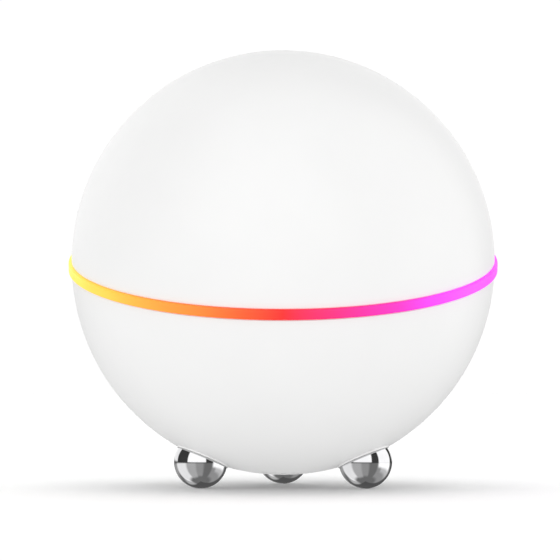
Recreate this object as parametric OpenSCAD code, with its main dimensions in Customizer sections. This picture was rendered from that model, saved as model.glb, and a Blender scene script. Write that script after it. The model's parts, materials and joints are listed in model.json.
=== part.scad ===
// Spherical smart speaker: two white shell halves with a tilted light ring between them, on three
// polished ball feet. The sound leaves through a drilled grille underneath.
// Millimetres. Origin on the table under the sphere's centre, +Z up, front of the object at -Y.

/* [Body] */
// Diameter of the sphere
body_d = 110; // [106:0.5:114]
// Wall thickness of both shell halves
shell_t = 2.2; // [1.8:0.1:2.4]
// Height of the sphere's centre above the table
centre_z = 58.5; // [58.2:0.1:58.8]

/* [Light ring] */
// Forward tilt of the ring and of the seam between the halves, in degrees
ring_tilt = 15.6; // [12:0.1:16]
// Height of the glowing band
ring_h = 2.5; // [2:0.1:2.6]
// How far the band stands out of the sphere
ring_proud = 0.78; // [0.5:0.02:1.2]
// Distance between the centres of the two shell halves
half_gap = 0.4; // [0.2:0.1:0.6]
// Number of lamps behind the band
led_count = 24; // [12:12:24]

/* [Feet] */
// Diameter of a ball foot
ball_d = 13.7; // [13.5:0.1:13.9]
// Diameter of the circle through the three ball centres
foot_circle_d = 44.6; // [44.2:0.2:45.2]
// Angle from straight sideways to a front foot, towards the front
foot_forward = 18; // [16:1:20]
// Height of the socket lip above the shell
lip_h = 0.55; // [0.3:0.05:0.7]
// Wall thickness of the socket lip
lip_t = 0.45; // [0.4:0.05:0.6]

/* [Sound] */
// Height of the loudspeaker's front, measured from the sphere's centre
driver_front = -36; // [-36.2:0.1:-35.8]
// Diameter of one grille hole
grille_hole_d = 1.5; // [1.2:0.1:1.6]
// Distance between grille holes
grille_pitch = 2.4; // [2.3:0.1:2.6]
// Rings of grille holes around the middle one
grille_rings = 4; // [2:1:4]

/* [Ports] */
// Height of the ports, measured from the sphere's centre
port_z = -10; // [-10.5:0.5:-9.5]
// Width of the rear panel's opening
panel_w = 30; // [30:0.5:31]
// Height of the rear panel's opening
panel_h = 11; // [11:0.5:12]
// Distance of the panel's face behind the sphere's axis
panel_y = 50.4; // [50.2:0.1:50.6]
// Radius of the hole in the audio socket
jack_r = 1.8; // [1.78:0.01:1.85]
// Depth of the hole in the audio socket
jack_depth = 14; // [13:0.5:14.5]

/* [Hidden] */
$fn = 96;

// Shells
body_r = body_d / 2;
inner_r = body_r - shell_t;
half_ring = ring_h / 2;
half_shift = half_gap / 2;
skin = 1;              // features inside a shell stop this far under its outer surface
ring_r = body_r + ring_proud;
guide_in_r = body_r - 5.4;
rim_chamfer = 0.3;     // broken edge at each shell's rim
rim_t = 1.4;           // thickening of each shell at its rim
rim_h = 3.2;           // height of that thickening
hook_r = body_r - 5;   // inner face of a snap hook's arm
hook_t = 1.6;
hook_w = 6;
hook_angles = [45, 135, 225, 315];
hook_gap = 0.3;        // room between a hook's arm and what it passes

// Frame and boards, heights along the ring's axis
frame_top = -4.4;
frame_t = 2;
frame_r = 48.4;
frame_hole_r = 21;
led_board_z = -2.9;
led_board_t = 1.2;
led_board_top = led_board_z + led_board_t;
led_board_r = [40.6, 49.4];
rim_radii = [[46.4, 48.4], [41, 42.6]];
post_r = 44;
post_angles = [30, 150, 210, 330];
board_z = 3;
board_t = 1.6;
board_top = board_z + board_t;
board_r = 37;
standoff_r = 31;
standoff_angles = [45, 135, 225, 315];
carrier_angles = [0, 120, 240];
carrier_foot_r = 31.5;
carrier_r = [25, 27];
carrier_z = [22, 32];
processor_at = [0, 2];
processor_size = [14, 14, 1.2];
pad_t = 0.5;
sink_size = [22, 22, 9];
sink_base = 2;
sink_top = board_top + processor_size.z + pad_t;

// Feet
ball_r = ball_d / 2;
foot_drop = centre_z - ball_r;
foot_angle = atan2(foot_circle_d / 2, foot_drop);
foot_reach = norm([foot_circle_d / 2, foot_drop]);
foot_turns = [foot_forward - 180, -foot_forward, 90];   // left, right, rear
lip_r = ball_r - 0.15 + lip_t;
lip_top = sqrt(body_r * body_r - lip_r * lip_r) + lip_h;
socket_seat = inner_r - 0.9;
socket_flange_r = 8.8;
socket_base = foot_reach - ball_r - 1.45;
foot_screw_head = 1.9;

// Loudspeaker, heights from its front plane
spider_z = 6.6;
plate_z = 10.2;
magnet_z = 12.2;
yoke_z = 18.2;
coil_r = 4.98;
tab_turns = [-90, 30, 150];
mount_drop = 2.6;      // underside of the mount's flange below the loudspeaker's front
tab_r = 27;
ear_r = 21.5;
funnel_end_r = 11.8;

// Ports, seen from the sphere's centre
usb_x = -8;
button_x = 0.5;
jack_x = 10;
socket_face = panel_y - 0.1;
panel_back = panel_y - 3.7;
flange_face = panel_y - 2.5;
port_board_top = port_z - 1.63;
port_board_t = 1;
shelf_w = 26;
shelf_in = 32;         // distance of the shelf's inner edge behind the sphere's axis

// ---------------------------------------------------------------- placing

// The sphere's centre, level with the table
module at_centre() {
    translate([0, 0, centre_z]) children();
}

// The sphere's centre, with +Z along the ring's axis
module tilted() {
    at_centre() rotate([ring_tilt, 0, 0]) children();
}

// The centre of a shell half: side is 1 for the upper half and -1 for the lower one
module half_centre(side) {
    translate([0, 0, side * half_shift]) children();
}

// A foot's axis, with +Z from the sphere's centre outwards through the ball
module at_foot(turn) {
    at_centre() rotate([0, 180 - foot_angle, turn]) children();
}

// The loudspeaker's front plane, level, with +Z up into the sphere
module at_driver() {
    translate([0, 0, centre_z + driver_front]) children();
}

function tilted_point(p) = [
    p.x,
    p.y * cos(ring_tilt) - p.z * sin(ring_tilt),
    p.y * sin(ring_tilt) + p.z * cos(ring_tilt)
];

// ---------------------------------------------------------------- shapes

module ring(inner, outer, low, high) {
    difference() {
        translate([0, 0, low]) cylinder(r = outer, h = high - low);
        translate([0, 0, low - 1]) cylinder(r = inner, h = high - low + 2);
    }
}

module block(size, at) {
    translate([at.x - size.x / 2, at.y - size.y / 2, at.z]) cube(size);
}

// A slot with round ends, lying along X and reaching from y0 to y1
module slot_bar(w, h, y0, y1) {
    rotate([-90, 0, 0]) translate([0, 0, y0]) {
        for (side = [-1, 1]) translate([side * (w - h) / 2, 0, 0]) cylinder(d = h, h = y1 - y0);
        translate([-(w - h) / 2, -h / 2, 0]) cube([w - h, h, y1 - y0]);
    }
}

// A screw that points down: the underside of its head is at the origin
module screw(r, length, head_r, head_h) {
    difference() {
        union() {
            translate([0, 0, -length]) cylinder(r = r, h = length + head_h / 2);
            cylinder(r = head_r, h = head_h);
        }
        translate([0, 0, head_h / 2]) cylinder(r = head_r * 0.45, h = head_h, $fn = 6);
    }
}

function unit(v) = v / norm(v);

// A smooth curve through the points, with `steps` pieces to each stretch
function curve(p, steps) = [
    for (i = [0 : len(p) - 2])
        let (a = p[max(i - 1, 0)], b = p[i], c = p[i + 1], d = p[min(i + 2, len(p) - 1)])
            for (k = [0 : steps - 1])
                let (t = k / steps)
                    0.5 * (2 * b + (c - a) * t + (2 * a - 5 * b + 4 * c - d) * t * t
                        + (3 * b - a - 3 * c + d) * t * t * t),
    p[len(p) - 1]
];

// A round wire along a path
module wire(path, r, sides = 8) {
    n = len(path);
    rings = [
        for (i = [0 : n - 1])
            let (
                along = unit(path[min(i + 1, n - 1)] - path[max(i - 1, 0)]),
                u = unit(cross(along, [0.31, 0.9, 0.3])),
                v = cross(along, u)
            )
                for (k = [0 : sides - 1])
                    path[i] + r * (cos(360 * k / sides) * u + sin(360 * k / sides) * v)
    ];
    walls = [
        for (i = [0 : n - 2]) for (k = [0 : sides - 1])
            let (a = i * sides + k, b = i * sides + (k + 1) % sides)
                [a, a + sides, b + sides, b]
    ];
    ends = [
        [for (k = [0 : sides - 1]) k],
        [for (k = [sides - 1 : -1 : 0]) (n - 1) * sides + k]
    ];
    polyhedron(points = rings, faces = concat(walls, ends), convexity = 6);
}

// The outline of a flat ribbon seen from its edge
function ribbon_outline(path, t) = let (
    n = len(path),
    side = [
        for (i = [0 : n - 1])
            let (along = unit(path[min(i + 1, n - 1)] - path[max(i - 1, 0)]))
                [-along.y, along.x] * t / 2
    ]
) concat(
    [for (i = [0 : n - 1]) path[i] + side[i]],
    [for (i = [n - 1 : -1 : 0]) path[i] - side[i]]
);

// ---------------------------------------------------------------- shells and light ring

module shell_half(side) {
    difference() {
        half_centre(side) sphere(r = body_r);
        half_centre(side) sphere(r = inner_r);
        mirror([0, 0, side > 0 ? 0 : 1]) {
            translate([0, 0, half_ring - 2 * body_r]) block([3 * body_r, 3 * body_r, 2 * body_r], [0, 0, 0]);
            translate([0, 0, half_ring]) rotate_extrude() polygon([
                [body_r - rim_chamfer - 1, -1], [body_r + 1, -1], [body_r + 1, rim_chamfer + 1]
            ]);
        }
    }
}

module snap_hook() {
    reach = rim_h + 2.8;
    translate([hook_r, -hook_w / 2, -reach]) cube([hook_t, hook_w, reach + rim_h - 0.5]);
    translate([hook_r + 0.1, -hook_w / 2, -reach]) cube([hook_t + 0.5, hook_w, 1.4]);
}

module upper_shell() {
    color("white") tilted() {
        shell_half(1);
        ring(inner_r - rim_t, inner_r + skin / 2, half_ring, rim_h);
        for (a = hook_angles) rotate([0, 0, a]) snap_hook();
    }
}

module frame_post() {
    difference() {
        translate([post_r, 0, -body_r]) cylinder(r = 3, h = body_r + frame_top - frame_t);
        translate([post_r, 0, -14]) cylinder(r = 1.25, h = 20);
    }
}

module mount_post() {
    translate([tab_r, 0, driver_front - mount_drop - 12]) cylinder(r = 2.6, h = 12);
}

module grille_cut() {
    for (i = [-grille_rings : grille_rings], j = [-grille_rings : grille_rings])
        if (abs(i + j) <= grille_rings)
            translate([(i + j / 2) * grille_pitch, j * grille_pitch * sin(60), -body_r - 2])
                cylinder(d = grille_hole_d, h = 12);
}

module lower_inside() {
    intersection() {
        half_centre(-1) sphere(r = body_r - skin);
        union() {
            for (a = post_angles) rotate([0, 0, a]) frame_post();
            ring(inner_r - 0.9, inner_r + skin / 2, -half_ring - rim_h, -half_ring);
            rotate([-ring_tilt, 0, 0]) {
                for (a = tab_turns) rotate([0, 0, a]) mount_post();
                translate([0, 0, port_z]) slot_bar(panel_w + 4, panel_h + 4, flange_face, body_r);
                for (a = foot_turns)
                    rotate([0, 180 - foot_angle, a]) translate([0, 0, socket_seat])
                        cylinder(r = socket_flange_r + 0.6, h = 4);
            }
        }
    }
}

module lower_shell() {
    color("white") tilted() difference() {
        union() {
            shell_half(-1);
            lower_inside();
        }
        rotate([-ring_tilt, 0, 0]) {
            for (a = foot_turns)
                rotate([0, 180 - foot_angle, a]) translate([0, 0, socket_seat - 3])
                    cylinder(r = lip_r + 0.05, h = 9);
            for (a = tab_turns)
                rotate([0, 0, a]) translate([tab_r, 0, driver_front - mount_drop - 6])
                    cylinder(r = 1.05, h = 7);
            translate([0, 0, port_z]) slot_bar(panel_w, panel_h, 40, body_r + 2);
            grille_cut();
        }
    }
}

module light_guide() {
    edge = 0.3;
    color("hotpink") tilted() difference() {
        rotate_extrude() polygon([
            [guide_in_r, -half_ring], [ring_r - edge, -half_ring],
            for (a = [-90 : 22.5 : 0])
                [ring_r - edge + edge * cos(a), -half_ring + edge + edge * sin(a)],
            for (a = [0 : 22.5 : 90])
                [ring_r - edge + edge * cos(a), half_ring - edge + edge * sin(a)],
            [guide_in_r, half_ring]
        ]);
        for (a = hook_angles)
            rotate([0, 0, a]) translate([guide_in_r - 1, -hook_w / 2 - hook_gap, -ring_h])
                cube([hook_r + hook_t + hook_gap - guide_in_r + 1, hook_w + 2 * hook_gap, 2 * ring_h]);
    }
}

module reflector_ring() {
    color("snow") tilted() {
        ring(43.6, guide_in_r - 0.2, 0.15, 1);
        ring(43.6, 44.6, led_board_top, 0.6);
    }
}

module led_board() {
    color("darkgreen") tilted()
        ring(led_board_r[0], led_board_r[1], led_board_z, led_board_top);
}

module ring_leds() {
    color("whitesmoke") tilted()
        for (i = [0 : led_count - 1])
            rotate([0, 0, (i + 0.5) * 360 / led_count])
                block([1.7, 3.4, 1.6], [48.45, 0, led_board_top]);
}

module microphones() {
    color("silver") tilted()
        for (a = [20, 110, 200, 290])
            rotate([0, 0, a]) block([2.4, 3, 1], [42.2, 0, led_board_top]);
}

// ---------------------------------------------------------------- frame and main board

module mid_frame() {
    color("dimgray") tilted() difference() {
        union() {
            ring(frame_hole_r, frame_r, frame_top - frame_t, frame_top);
            for (r = rim_radii) ring(r[0], r[1], frame_top - 0.5, led_board_z);
            for (a = standoff_angles)
                rotate([0, 0, a]) translate([standoff_r, 0, frame_top - 0.5])
                    cylinder(r = 2.8, h = board_z - frame_top + 0.5);
        }
        for (a = post_angles) rotate([0, 0, a]) {
            translate([post_r, 0, frame_top - frame_t - 1]) cylinder(r = 1.35, h = 6);
            translate([post_r, 0, frame_top]) cylinder(r = 2.6, h = 3);
        }
        for (a = standoff_angles)
            rotate([0, 0, a]) translate([standoff_r, 0, -3]) cylinder(r = 1.15, h = 8);
        for (a = [0 : 90 : 270])
            rotate([0, 0, a]) translate([31, 0, frame_top - frame_t - 1]) cylinder(r = 6, h = 5);
    }
}

module frame_screws() {
    color("silver") tilted()
        for (a = post_angles)
            rotate([0, 0, a]) translate([post_r, 0, frame_top]) screw(1.2, 9, 2.2, 1.4);
}

module main_board() {
    color("darkgreen") tilted() difference() {
        translate([0, 0, board_z]) cylinder(r = board_r, h = board_t);
        for (a = standoff_angles)
            rotate([0, 0, a]) translate([standoff_r, 0, board_z - 1]) cylinder(r = 1.3, h = 4);
        for (a = carrier_angles)
            rotate([0, 0, a]) translate([carrier_foot_r, 0, board_z - 1]) cylinder(r = 1.05, h = 4);
    }
}

module board_screws() {
    color("silver") tilted()
        for (a = standoff_angles)
            rotate([0, 0, a]) translate([standoff_r, 0, board_top]) screw(1.1, 6, 2.1, 1.4);
}

module processor() {
    color("dimgray") tilted()
        block(processor_size, [processor_at.x, processor_at.y, board_top]);
}

module thermal_pad() {
    color("lightblue") tilted()
        block([processor_size.x, processor_size.y, pad_t],
            [processor_at.x, processor_at.y, board_top + processor_size.z]);
}

module heat_sink() {
    fins = 7;
    fin_t = 1.2;
    color("silver") tilted() difference() {
        block(sink_size, [processor_at.x, processor_at.y, sink_top]);
        for (i = [0 : fins - 2]) {
            pitch = (sink_size.x - fin_t) / (fins - 1);
            gap_x = processor_at.x - sink_size.x / 2 + fin_t + i * pitch;
            translate([gap_x, processor_at.y - sink_size.y, sink_top + sink_base])
                cube([pitch - fin_t, 2 * sink_size.y, sink_size.z]);
        }
    }
}

module memory_chips() {
    color("dimgray") tilted()
        for (y = [-4, 8]) block([8, 10, 1], [17, y, board_top]);
}

module radio_module() {
    color("seagreen") tilted() block([18, 16, 0.8], [0, -23, board_top]);
}

module radio_shield() {
    color("silver") tilted() difference() {
        block([12, 13, 2.2], [0, -23, board_top + 0.8]);
        block([11.4, 12.4, 1.9], [0, -23, board_top + 0.8 - 0.1]);
    }
}

module amplifier_chip() {
    color("dimgray") tilted() block([6, 6, 1], [-17, -8, board_top]);
}

module power_inductor() {
    color("gray") tilted() difference() {
        block([7, 7, 4], [-18, 4, board_top]);
        translate([-18, 4, board_top + 3.4]) cylinder(r = 2.4, h = 2);
    }
}

module power_capacitors() {
    color("gainsboro") tilted()
        for (x = [-5, 3.5, 12]) {
            block([6.6, 6.6, 1], [x, 25, board_top]);
            translate([x, 25, board_top + 0.5]) cylinder(d = 6.3, h = 6.5);
        }
}

module board_connectors() {
    color("ivory") {
        tilted() {
            block([5, 7, 4], [11, 0, board_z - 4]);
            block([9, 4, 4], [-4, 14, board_z - 4]);
            block([3, 8, 1.4], [-33.5, 0, board_top]);
            block([2, 8, 0.8], [-41.8, 0, led_board_top]);
            for (side = [-1, 1])
                translate([side * 7.6, -19, board_top + 0.8]) cylinder(r = 1.1, h = 1.2);
        }
        at_centre() block([9, 2.4, 1], [-4.5, shelf_in + 1.6, port_board_top]);
    }
}

module antenna_carrier() {
    color("whitesmoke") tilted() difference() {
        union() {
            ring(carrier_r[0], carrier_r[1], carrier_z[0], carrier_z[1]);
            for (a = carrier_angles) rotate([0, 0, a]) {
                translate([carrier_r[0] + 0.2, -3, board_top])
                    cube([1.6, 6, carrier_z[0] - board_top + 1]);
                translate([carrier_r[0] + 0.2, -3, board_top])
                    cube([carrier_foot_r + 3 - carrier_r[0], 6, 1.8]);
            }
        }
        for (a = carrier_angles)
            rotate([0, 0, a]) translate([carrier_foot_r, 0, board_top - 1]) cylinder(r = 1.1, h = 4);
    }
}

module carrier_screws() {
    color("silver") tilted()
        for (a = carrier_angles)
            rotate([0, 0, a]) translate([carrier_foot_r, 0, board_top + 1.8]) screw(1, 4, 1.9, 1.2);
}

// A thin printed strip on the outside of the carrier, centred on a direction
module antenna(direction) {
    color("goldenrod") tilted() rotate([0, 0, direction - 32])
        rotate_extrude(angle = 64) translate([carrier_r[1] + 0.02, carrier_z[0] + 1]) square([0.3, 8]);
}

module antenna_cables() {
    color("black") tilted()
        for (side = [-1, 1])
            wire(curve([
                [side * 7.6, -19, 6.62], [side * 8.5, -19, 10], [side * 18, -18, 16],
                [side * 26, -12.5, 18.5], [side * 26.7, -9, 20.5], [side * 26.5, -8, 22.98]
            ], 5), 0.55);
}

// ---------------------------------------------------------------- ports

module port_panel() {
    color("whitesmoke") at_centre() {
        difference() {
            translate([0, 0, port_z]) union() {
                slot_bar(panel_w - 0.2, panel_h - 0.2, panel_back + 0.5, panel_y);
                slot_bar(panel_w + 3, panel_h + 3, panel_back, flange_face);
            }
            translate([usb_x, 0, port_z]) slot_bar(9.1, 3.42, panel_back - 1, panel_y + 1);
            translate([button_x, panel_back - 1, port_z]) rotate([-90, 0, 0]) cylinder(r = 1.6, h = 6);
            translate([jack_x, panel_back - 1, port_z]) rotate([-90, 0, 0]) cylinder(r = 3, h = 6);
        }
        difference() {
            translate([-shelf_w / 2, shelf_in, port_board_top - port_board_t - 2])
                cube([shelf_w, panel_back + 0.4 - shelf_in, 2]);
            port_screw_places(-6) cylinder(r = 1.02, h = 8);
            translate([jack_x, panel_back - 3, port_z]) rotate([-90, 0, 0]) cylinder(r = 3, h = 4);
        }
    }
}

module port_screw_places(drop) {
    for (x = [-11.2, 3.6]) translate([x, shelf_in + 2.4, port_board_top + drop]) children();
}

module port_board() {
    color("darkgreen") at_centre() difference() {
        translate([-shelf_w / 2, shelf_in, port_board_top - port_board_t])
            cube([shelf_w, panel_back - 0.2 - shelf_in, port_board_t]);
        translate([6.6, shelf_in + 2.8, port_board_top - 2]) cube([10, 20, 4]);
        translate([button_x - 2.9, 44.2, port_board_top - 2]) cube([5.8, 5, 4]);
        port_screw_places(-3) cylinder(r = 1.1, h = 8);
    }
}

module port_board_screws() {
    color("silver") at_centre() port_screw_places(0) screw(1, 2.9, 1.7, 1);
}

module power_socket() {
    color("silver") at_centre() translate([usb_x, 0, port_z]) difference() {
        slot_bar(8.94, 3.26, socket_face - 7.3, socket_face);
        slot_bar(8.34, 2.66, socket_face - 6.7, socket_face + 1);
    }
}

module power_socket_tongue() {
    color("dimgray") at_centre()
        translate([usb_x - 3.3, socket_face - 6.7, port_z - 0.35]) cube([6.6, 5.9, 0.7]);
}

module audio_jack() {
    color("dimgray") at_centre() translate([jack_x, 0, port_z]) difference() {
        union() {
            block([6.4, 11, 5], [0, panel_back - 5.9, -2.5]);
            rotate([-90, 0, 0]) translate([0, 0, panel_back - 2])
                cylinder(r = 2.9, h = socket_face - panel_back + 2);
        }
        rotate([-90, 0, 0]) translate([0, 0, socket_face - jack_depth])
            cylinder(r = jack_r, h = jack_depth + 1);
    }
}

module reset_button() {
    color("gainsboro") at_centre() translate([button_x, 0, port_z]) rotate([-90, 0, 0]) {
        translate([0, 0, 43.2]) cylinder(r = 1.5, h = panel_y + 0.3 - 43.2);
        translate([0, 0, panel_back - 1.1]) cylinder(r = 2.4, h = 0.9);
    }
}

module reset_plunger() {
    color("black") at_centre() translate([button_x, 0, port_z]) rotate([-90, 0, 0])
        translate([0, 0, 40]) cylinder(r = 0.9, h = 3.2);
}

module reset_switch() {
    color("silver") at_centre() difference() {
        block([6, 3.4, 3.4], [button_x, 40.1, port_board_top]);
        translate([button_x, 39.2, port_z]) rotate([-90, 0, 0]) cylinder(r = 0.95, h = 4);
    }
}

module port_ribbon() {
    high = tilted_point([0, 14, -3.6]);
    end = tilted_point([0, 14, -1.02]);
    route = curve([
        [34.4, -10.45], [30, -10.3], [24, -8.5], [18.5, -4.5], [high.y, high.z], [end.y, end.z]
    ], 5);
    color("orange") at_centre() translate([-8, 0, 0])
        rotate([90, 0, 90]) linear_extrude(height = 7) polygon(ribbon_outline(route, 0.3));
}

module led_ribbon() {
    route = curve([[-41.8, -0.88], [-41.4, 1.5], [-39.5, 5], [-36.8, 6.5], [-33.5, 6.25]], 5);
    color("orange") tilted() translate([0, 3, 0])
        rotate([90, 0, 0]) linear_extrude(height = 6) polygon(ribbon_outline(route, 0.3));
}

// ---------------------------------------------------------------- loudspeaker

module speaker_cable() {
    color("firebrick") at_centre()
        for (side = [-1, 1])
            wire(curve([
                [20.3, side * 2.5, -32.68], [20.8, side * 2.3, -27], [19.5, side * 1.8, -19],
                [14.5, side * 1.3 + 0.3, -9], tilted_point([11, side * 1.2, -4]),
                tilted_point([11, side * 1.2, -1.05])
            ], 5), 0.6);
}

module speaker_mount() {
    color("dimgray") difference() {
        union() {
            at_driver() {
                ring(17.6, 20, -mount_drop, -1.4);
                for (a = tab_turns) rotate([0, 0, a]) {
                    translate([18.2, -4, -mount_drop]) cube([tab_r - 18.2, 8, mount_drop - 1.4]);
                    translate([tab_r, 0, -mount_drop]) cylinder(r = 4, h = mount_drop - 1.4);
                    translate([ear_r, 0, -5]) cylinder(r = 2, h = 5);
                }
            }
            intersection() {
                at_driver() rotate_extrude() polygon([
                    [17.6, -1.4], [18.8, -1.4], [18.8, -mount_drop], [funnel_end_r, -10],
                    [funnel_end_r, -18], [funnel_end_r - 1.1, -18], [funnel_end_r - 1.1, -9.6],
                    [17.6, -2.3]
                ]);
                tilted() half_centre(-1) sphere(r = inner_r - 0.02);
            }
        }
        at_driver() for (a = tab_turns) rotate([0, 0, a]) {
            translate([ear_r, 0, -4.4]) cylinder(r = 0.95, h = 6);
            translate([tab_r, 0, -4]) cylinder(r = 1.15, h = 4);
        }
    }
}

module mount_screws() {
    color("silver") at_driver()
        for (a = tab_turns) rotate([0, 0, a]) translate([tab_r, 0, -1.4]) screw(1, 5.5, 2, 1.2);
}

module acoustic_mesh() {
    color("dimgray") intersection() {
        tilted() half_centre(-1) difference() {
            sphere(r = inner_r - 0.08);
            sphere(r = inner_r - 0.38);
        }
        at_centre() translate([0, 0, -body_r]) cylinder(r = funnel_end_r - 1.2, h = 12);
    }
}

module driver_gasket() {
    color("gray") at_driver() ring(17.7, 19.2, -1.4, -0.4);
}

module driver_basket() {
    color("dimgray") at_driver() difference() {
        union() {
            ring(16.8, 20, 0, 1.2);
            for (a = tab_turns) rotate([0, 0, a]) {
                translate([18.5, -2.8, 0]) cube([ear_r - 18.5, 5.6, 1.2]);
                translate([ear_r, 0, 0]) cylinder(r = 2.8, h = 1.2);
            }
            rotate_extrude() polygon([[16.8, 0.6], [18, 0.6], [12.8, 9], [12.8, plate_z], [6.2, plate_z],
                [6.2, 9], [11.4, 9], [12.35, spider_z + 0.9], [12, spider_z + 0.9], [12, spider_z + 0.3],
                [13.3, spider_z + 0.3], [16.8, 1.1]]);
        }
        for (a = [45 : 90 : 315]) rotate([0, 0, a])
            translate([10, -4.5, 2.2]) cube([10, 9, 3.8]);
        for (a = tab_turns) rotate([0, 0, a]) translate([ear_r, 0, -1]) cylinder(r = 1.1, h = 4);
    }
}

module driver_front_plate() {
    color("silver") at_driver() ring(5.75, 11.5, plate_z, magnet_z);
}

module driver_magnet() {
    color("darkgray") at_driver() ring(7.2, 13.5, magnet_z, yoke_z);
}

module driver_yoke() {
    color("silver") at_driver() {
        translate([0, 0, yoke_z]) cylinder(r = 12.6, h = 2.2);
        translate([0, 0, plate_z]) cylinder(r = 4.7, h = yoke_z - plate_z + 0.5);
    }
}

module voice_coil() {
    color("peru") at_driver() rotate_extrude() polygon([
        [coil_r, 4.3], [coil_r + 0.14, 4.3], [coil_r + 0.14, 8.7], [coil_r + 0.5, 8.7],
        [coil_r + 0.5, 13.7], [coil_r, 13.7]
    ]);
}

module spider() {
    waves = 4;
    inner = coil_r + 0.16;
    outer = 13;
    line = [
        for (i = [0 : 40])
            let (t = i / 40)
                [inner + (outer - inner) * t, spider_z + 0.15 - 0.35 * sin(180 * t) * (1 - cos(360 * waves * t)) / 2]
    ];
    color("goldenrod") at_driver() rotate_extrude() polygon(ribbon_outline(line, 0.25));
}

module cone() {
    color("dimgray") at_driver() rotate_extrude() polygon([
        [coil_r + 0.16, 5.2], [14.6, 0.1], [14.6, 0.5], [coil_r + 0.16, 5.7]
    ]);
}

module dust_cap() {
    cap_r = 6.5;
    cap_h = 2;
    ball = (cap_r * cap_r + cap_h * cap_h) / (2 * cap_h);
    color("dimgray") at_driver() intersection() {
        translate([0, 0, 4.35 - cap_h + ball]) difference() {
            sphere(r = ball);
            sphere(r = ball - 0.3);
        }
        cylinder(r = cap_r + 1, h = 4.35);
    }
}

module surround() {
    color("black") at_driver() rotate_extrude() {
        difference() {
            translate([16.05, 0]) circle(r = 1.5);
            translate([16.05, 0]) circle(r = 1.15);
            translate([14, 0]) square([4, 4]);
        }
        translate([17.3, -0.4]) square([1.9, 0.4]);
    }
}

module driver_terminals() {
    color("sandybrown") at_driver() {
        translate([18.6, -4, 1.2]) cube([0.8, 8, 5]);
        for (y = [-2.5, 2.5]) translate([19.2, y - 0.7, 2.9]) cube([1.8, 1.4, 0.4]);
    }
}

module driver_screws() {
    color("silver") at_driver()
        for (a = tab_turns) rotate([0, 0, a]) translate([ear_r, 0, 1.2]) screw(0.9, 5, 1.8, 1.2);
}

// ---------------------------------------------------------------- feet

module foot_ball(turn) {
    color("silver") at_foot(turn) difference() {
        translate([0, 0, foot_reach]) sphere(r = ball_r);
        translate([0, 0, foot_reach - ball_r - 1]) cylinder(r = 1.52, h = 6.5);
    }
}

module foot_socket(turn) {
    color("white") at_foot(turn) difference() {
        union() {
            translate([0, 0, socket_base]) cylinder(r = lip_r, h = lip_top - socket_base);
            translate([0, 0, socket_seat - 1.2]) cylinder(r = socket_flange_r, h = 1.2);
        }
        translate([0, 0, foot_reach]) sphere(r = ball_r + 0.05);
        translate([0, 0, socket_base - 1]) cylinder(r = 1.6, h = 4);
    }
}

module foot_screws() {
    color("silver")
        for (a = foot_turns)
            at_foot(a) translate([0, 0, socket_base]) mirror([0, 0, 1])
                screw(1.5, 6, 2.75, foot_screw_head);
}

// ---------------------------------------------------------------- one line for each node

upper_shell();
lower_shell();
light_guide();
reflector_ring();
led_board();
ring_leds();
microphones();
mid_frame();
frame_screws();
main_board();
board_screws();
processor();
thermal_pad();
heat_sink();
memory_chips();
radio_module();
radio_shield();
amplifier_chip();
power_inductor();
power_capacitors();
board_connectors();
antenna_carrier();
carrier_screws();
antenna(180);  // antenna_left
antenna(0);  // antenna_right
antenna_cables();
port_panel();
port_board();
power_socket();
power_socket_tongue();
audio_jack();
reset_button();
reset_plunger();
reset_switch();
port_board_screws();
port_ribbon();
led_ribbon();
speaker_cable();
speaker_mount();
mount_screws();
acoustic_mesh();
driver_gasket();
driver_basket();
driver_front_plate();
driver_magnet();
driver_yoke();
voice_coil();
spider();
cone();
dust_cap();
surround();
driver_terminals();
driver_screws();
foot_ball(foot_turns[0]);  // foot_ball_left
foot_ball(foot_turns[1]);  // foot_ball_right
foot_ball(foot_turns[2]);  // foot_ball_rear
foot_socket(foot_turns[0]);  // foot_socket_left
foot_socket(foot_turns[1]);  // foot_socket_right
foot_socket(foot_turns[2]);  // foot_socket_rear
foot_screws();
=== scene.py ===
# %% [markdown]
# # A spherical smart speaker, made in Blender around its CAD frame
#
# The object is a white ball about 11 cm across. Two moulded shell halves meet at a thin glowing band
# that leans forwards, and three mirror-polished steel balls carry it. Its ports are at the back, its
# sound comes out of a drilled grille underneath, and its electronics fill the ball.
#
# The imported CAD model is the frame: it says where every part is and how it moves. This lesson gives
# each part its surface, and rebuilds the parts whose edges, curves or small features are worth more
# than plain solids. Everything is in metres, Z up, with the front of the object towards -Y.

# %% Load the frame
import json
import math
import random

import bmesh
import bpy
from mathutils import Matrix, Vector

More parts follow.
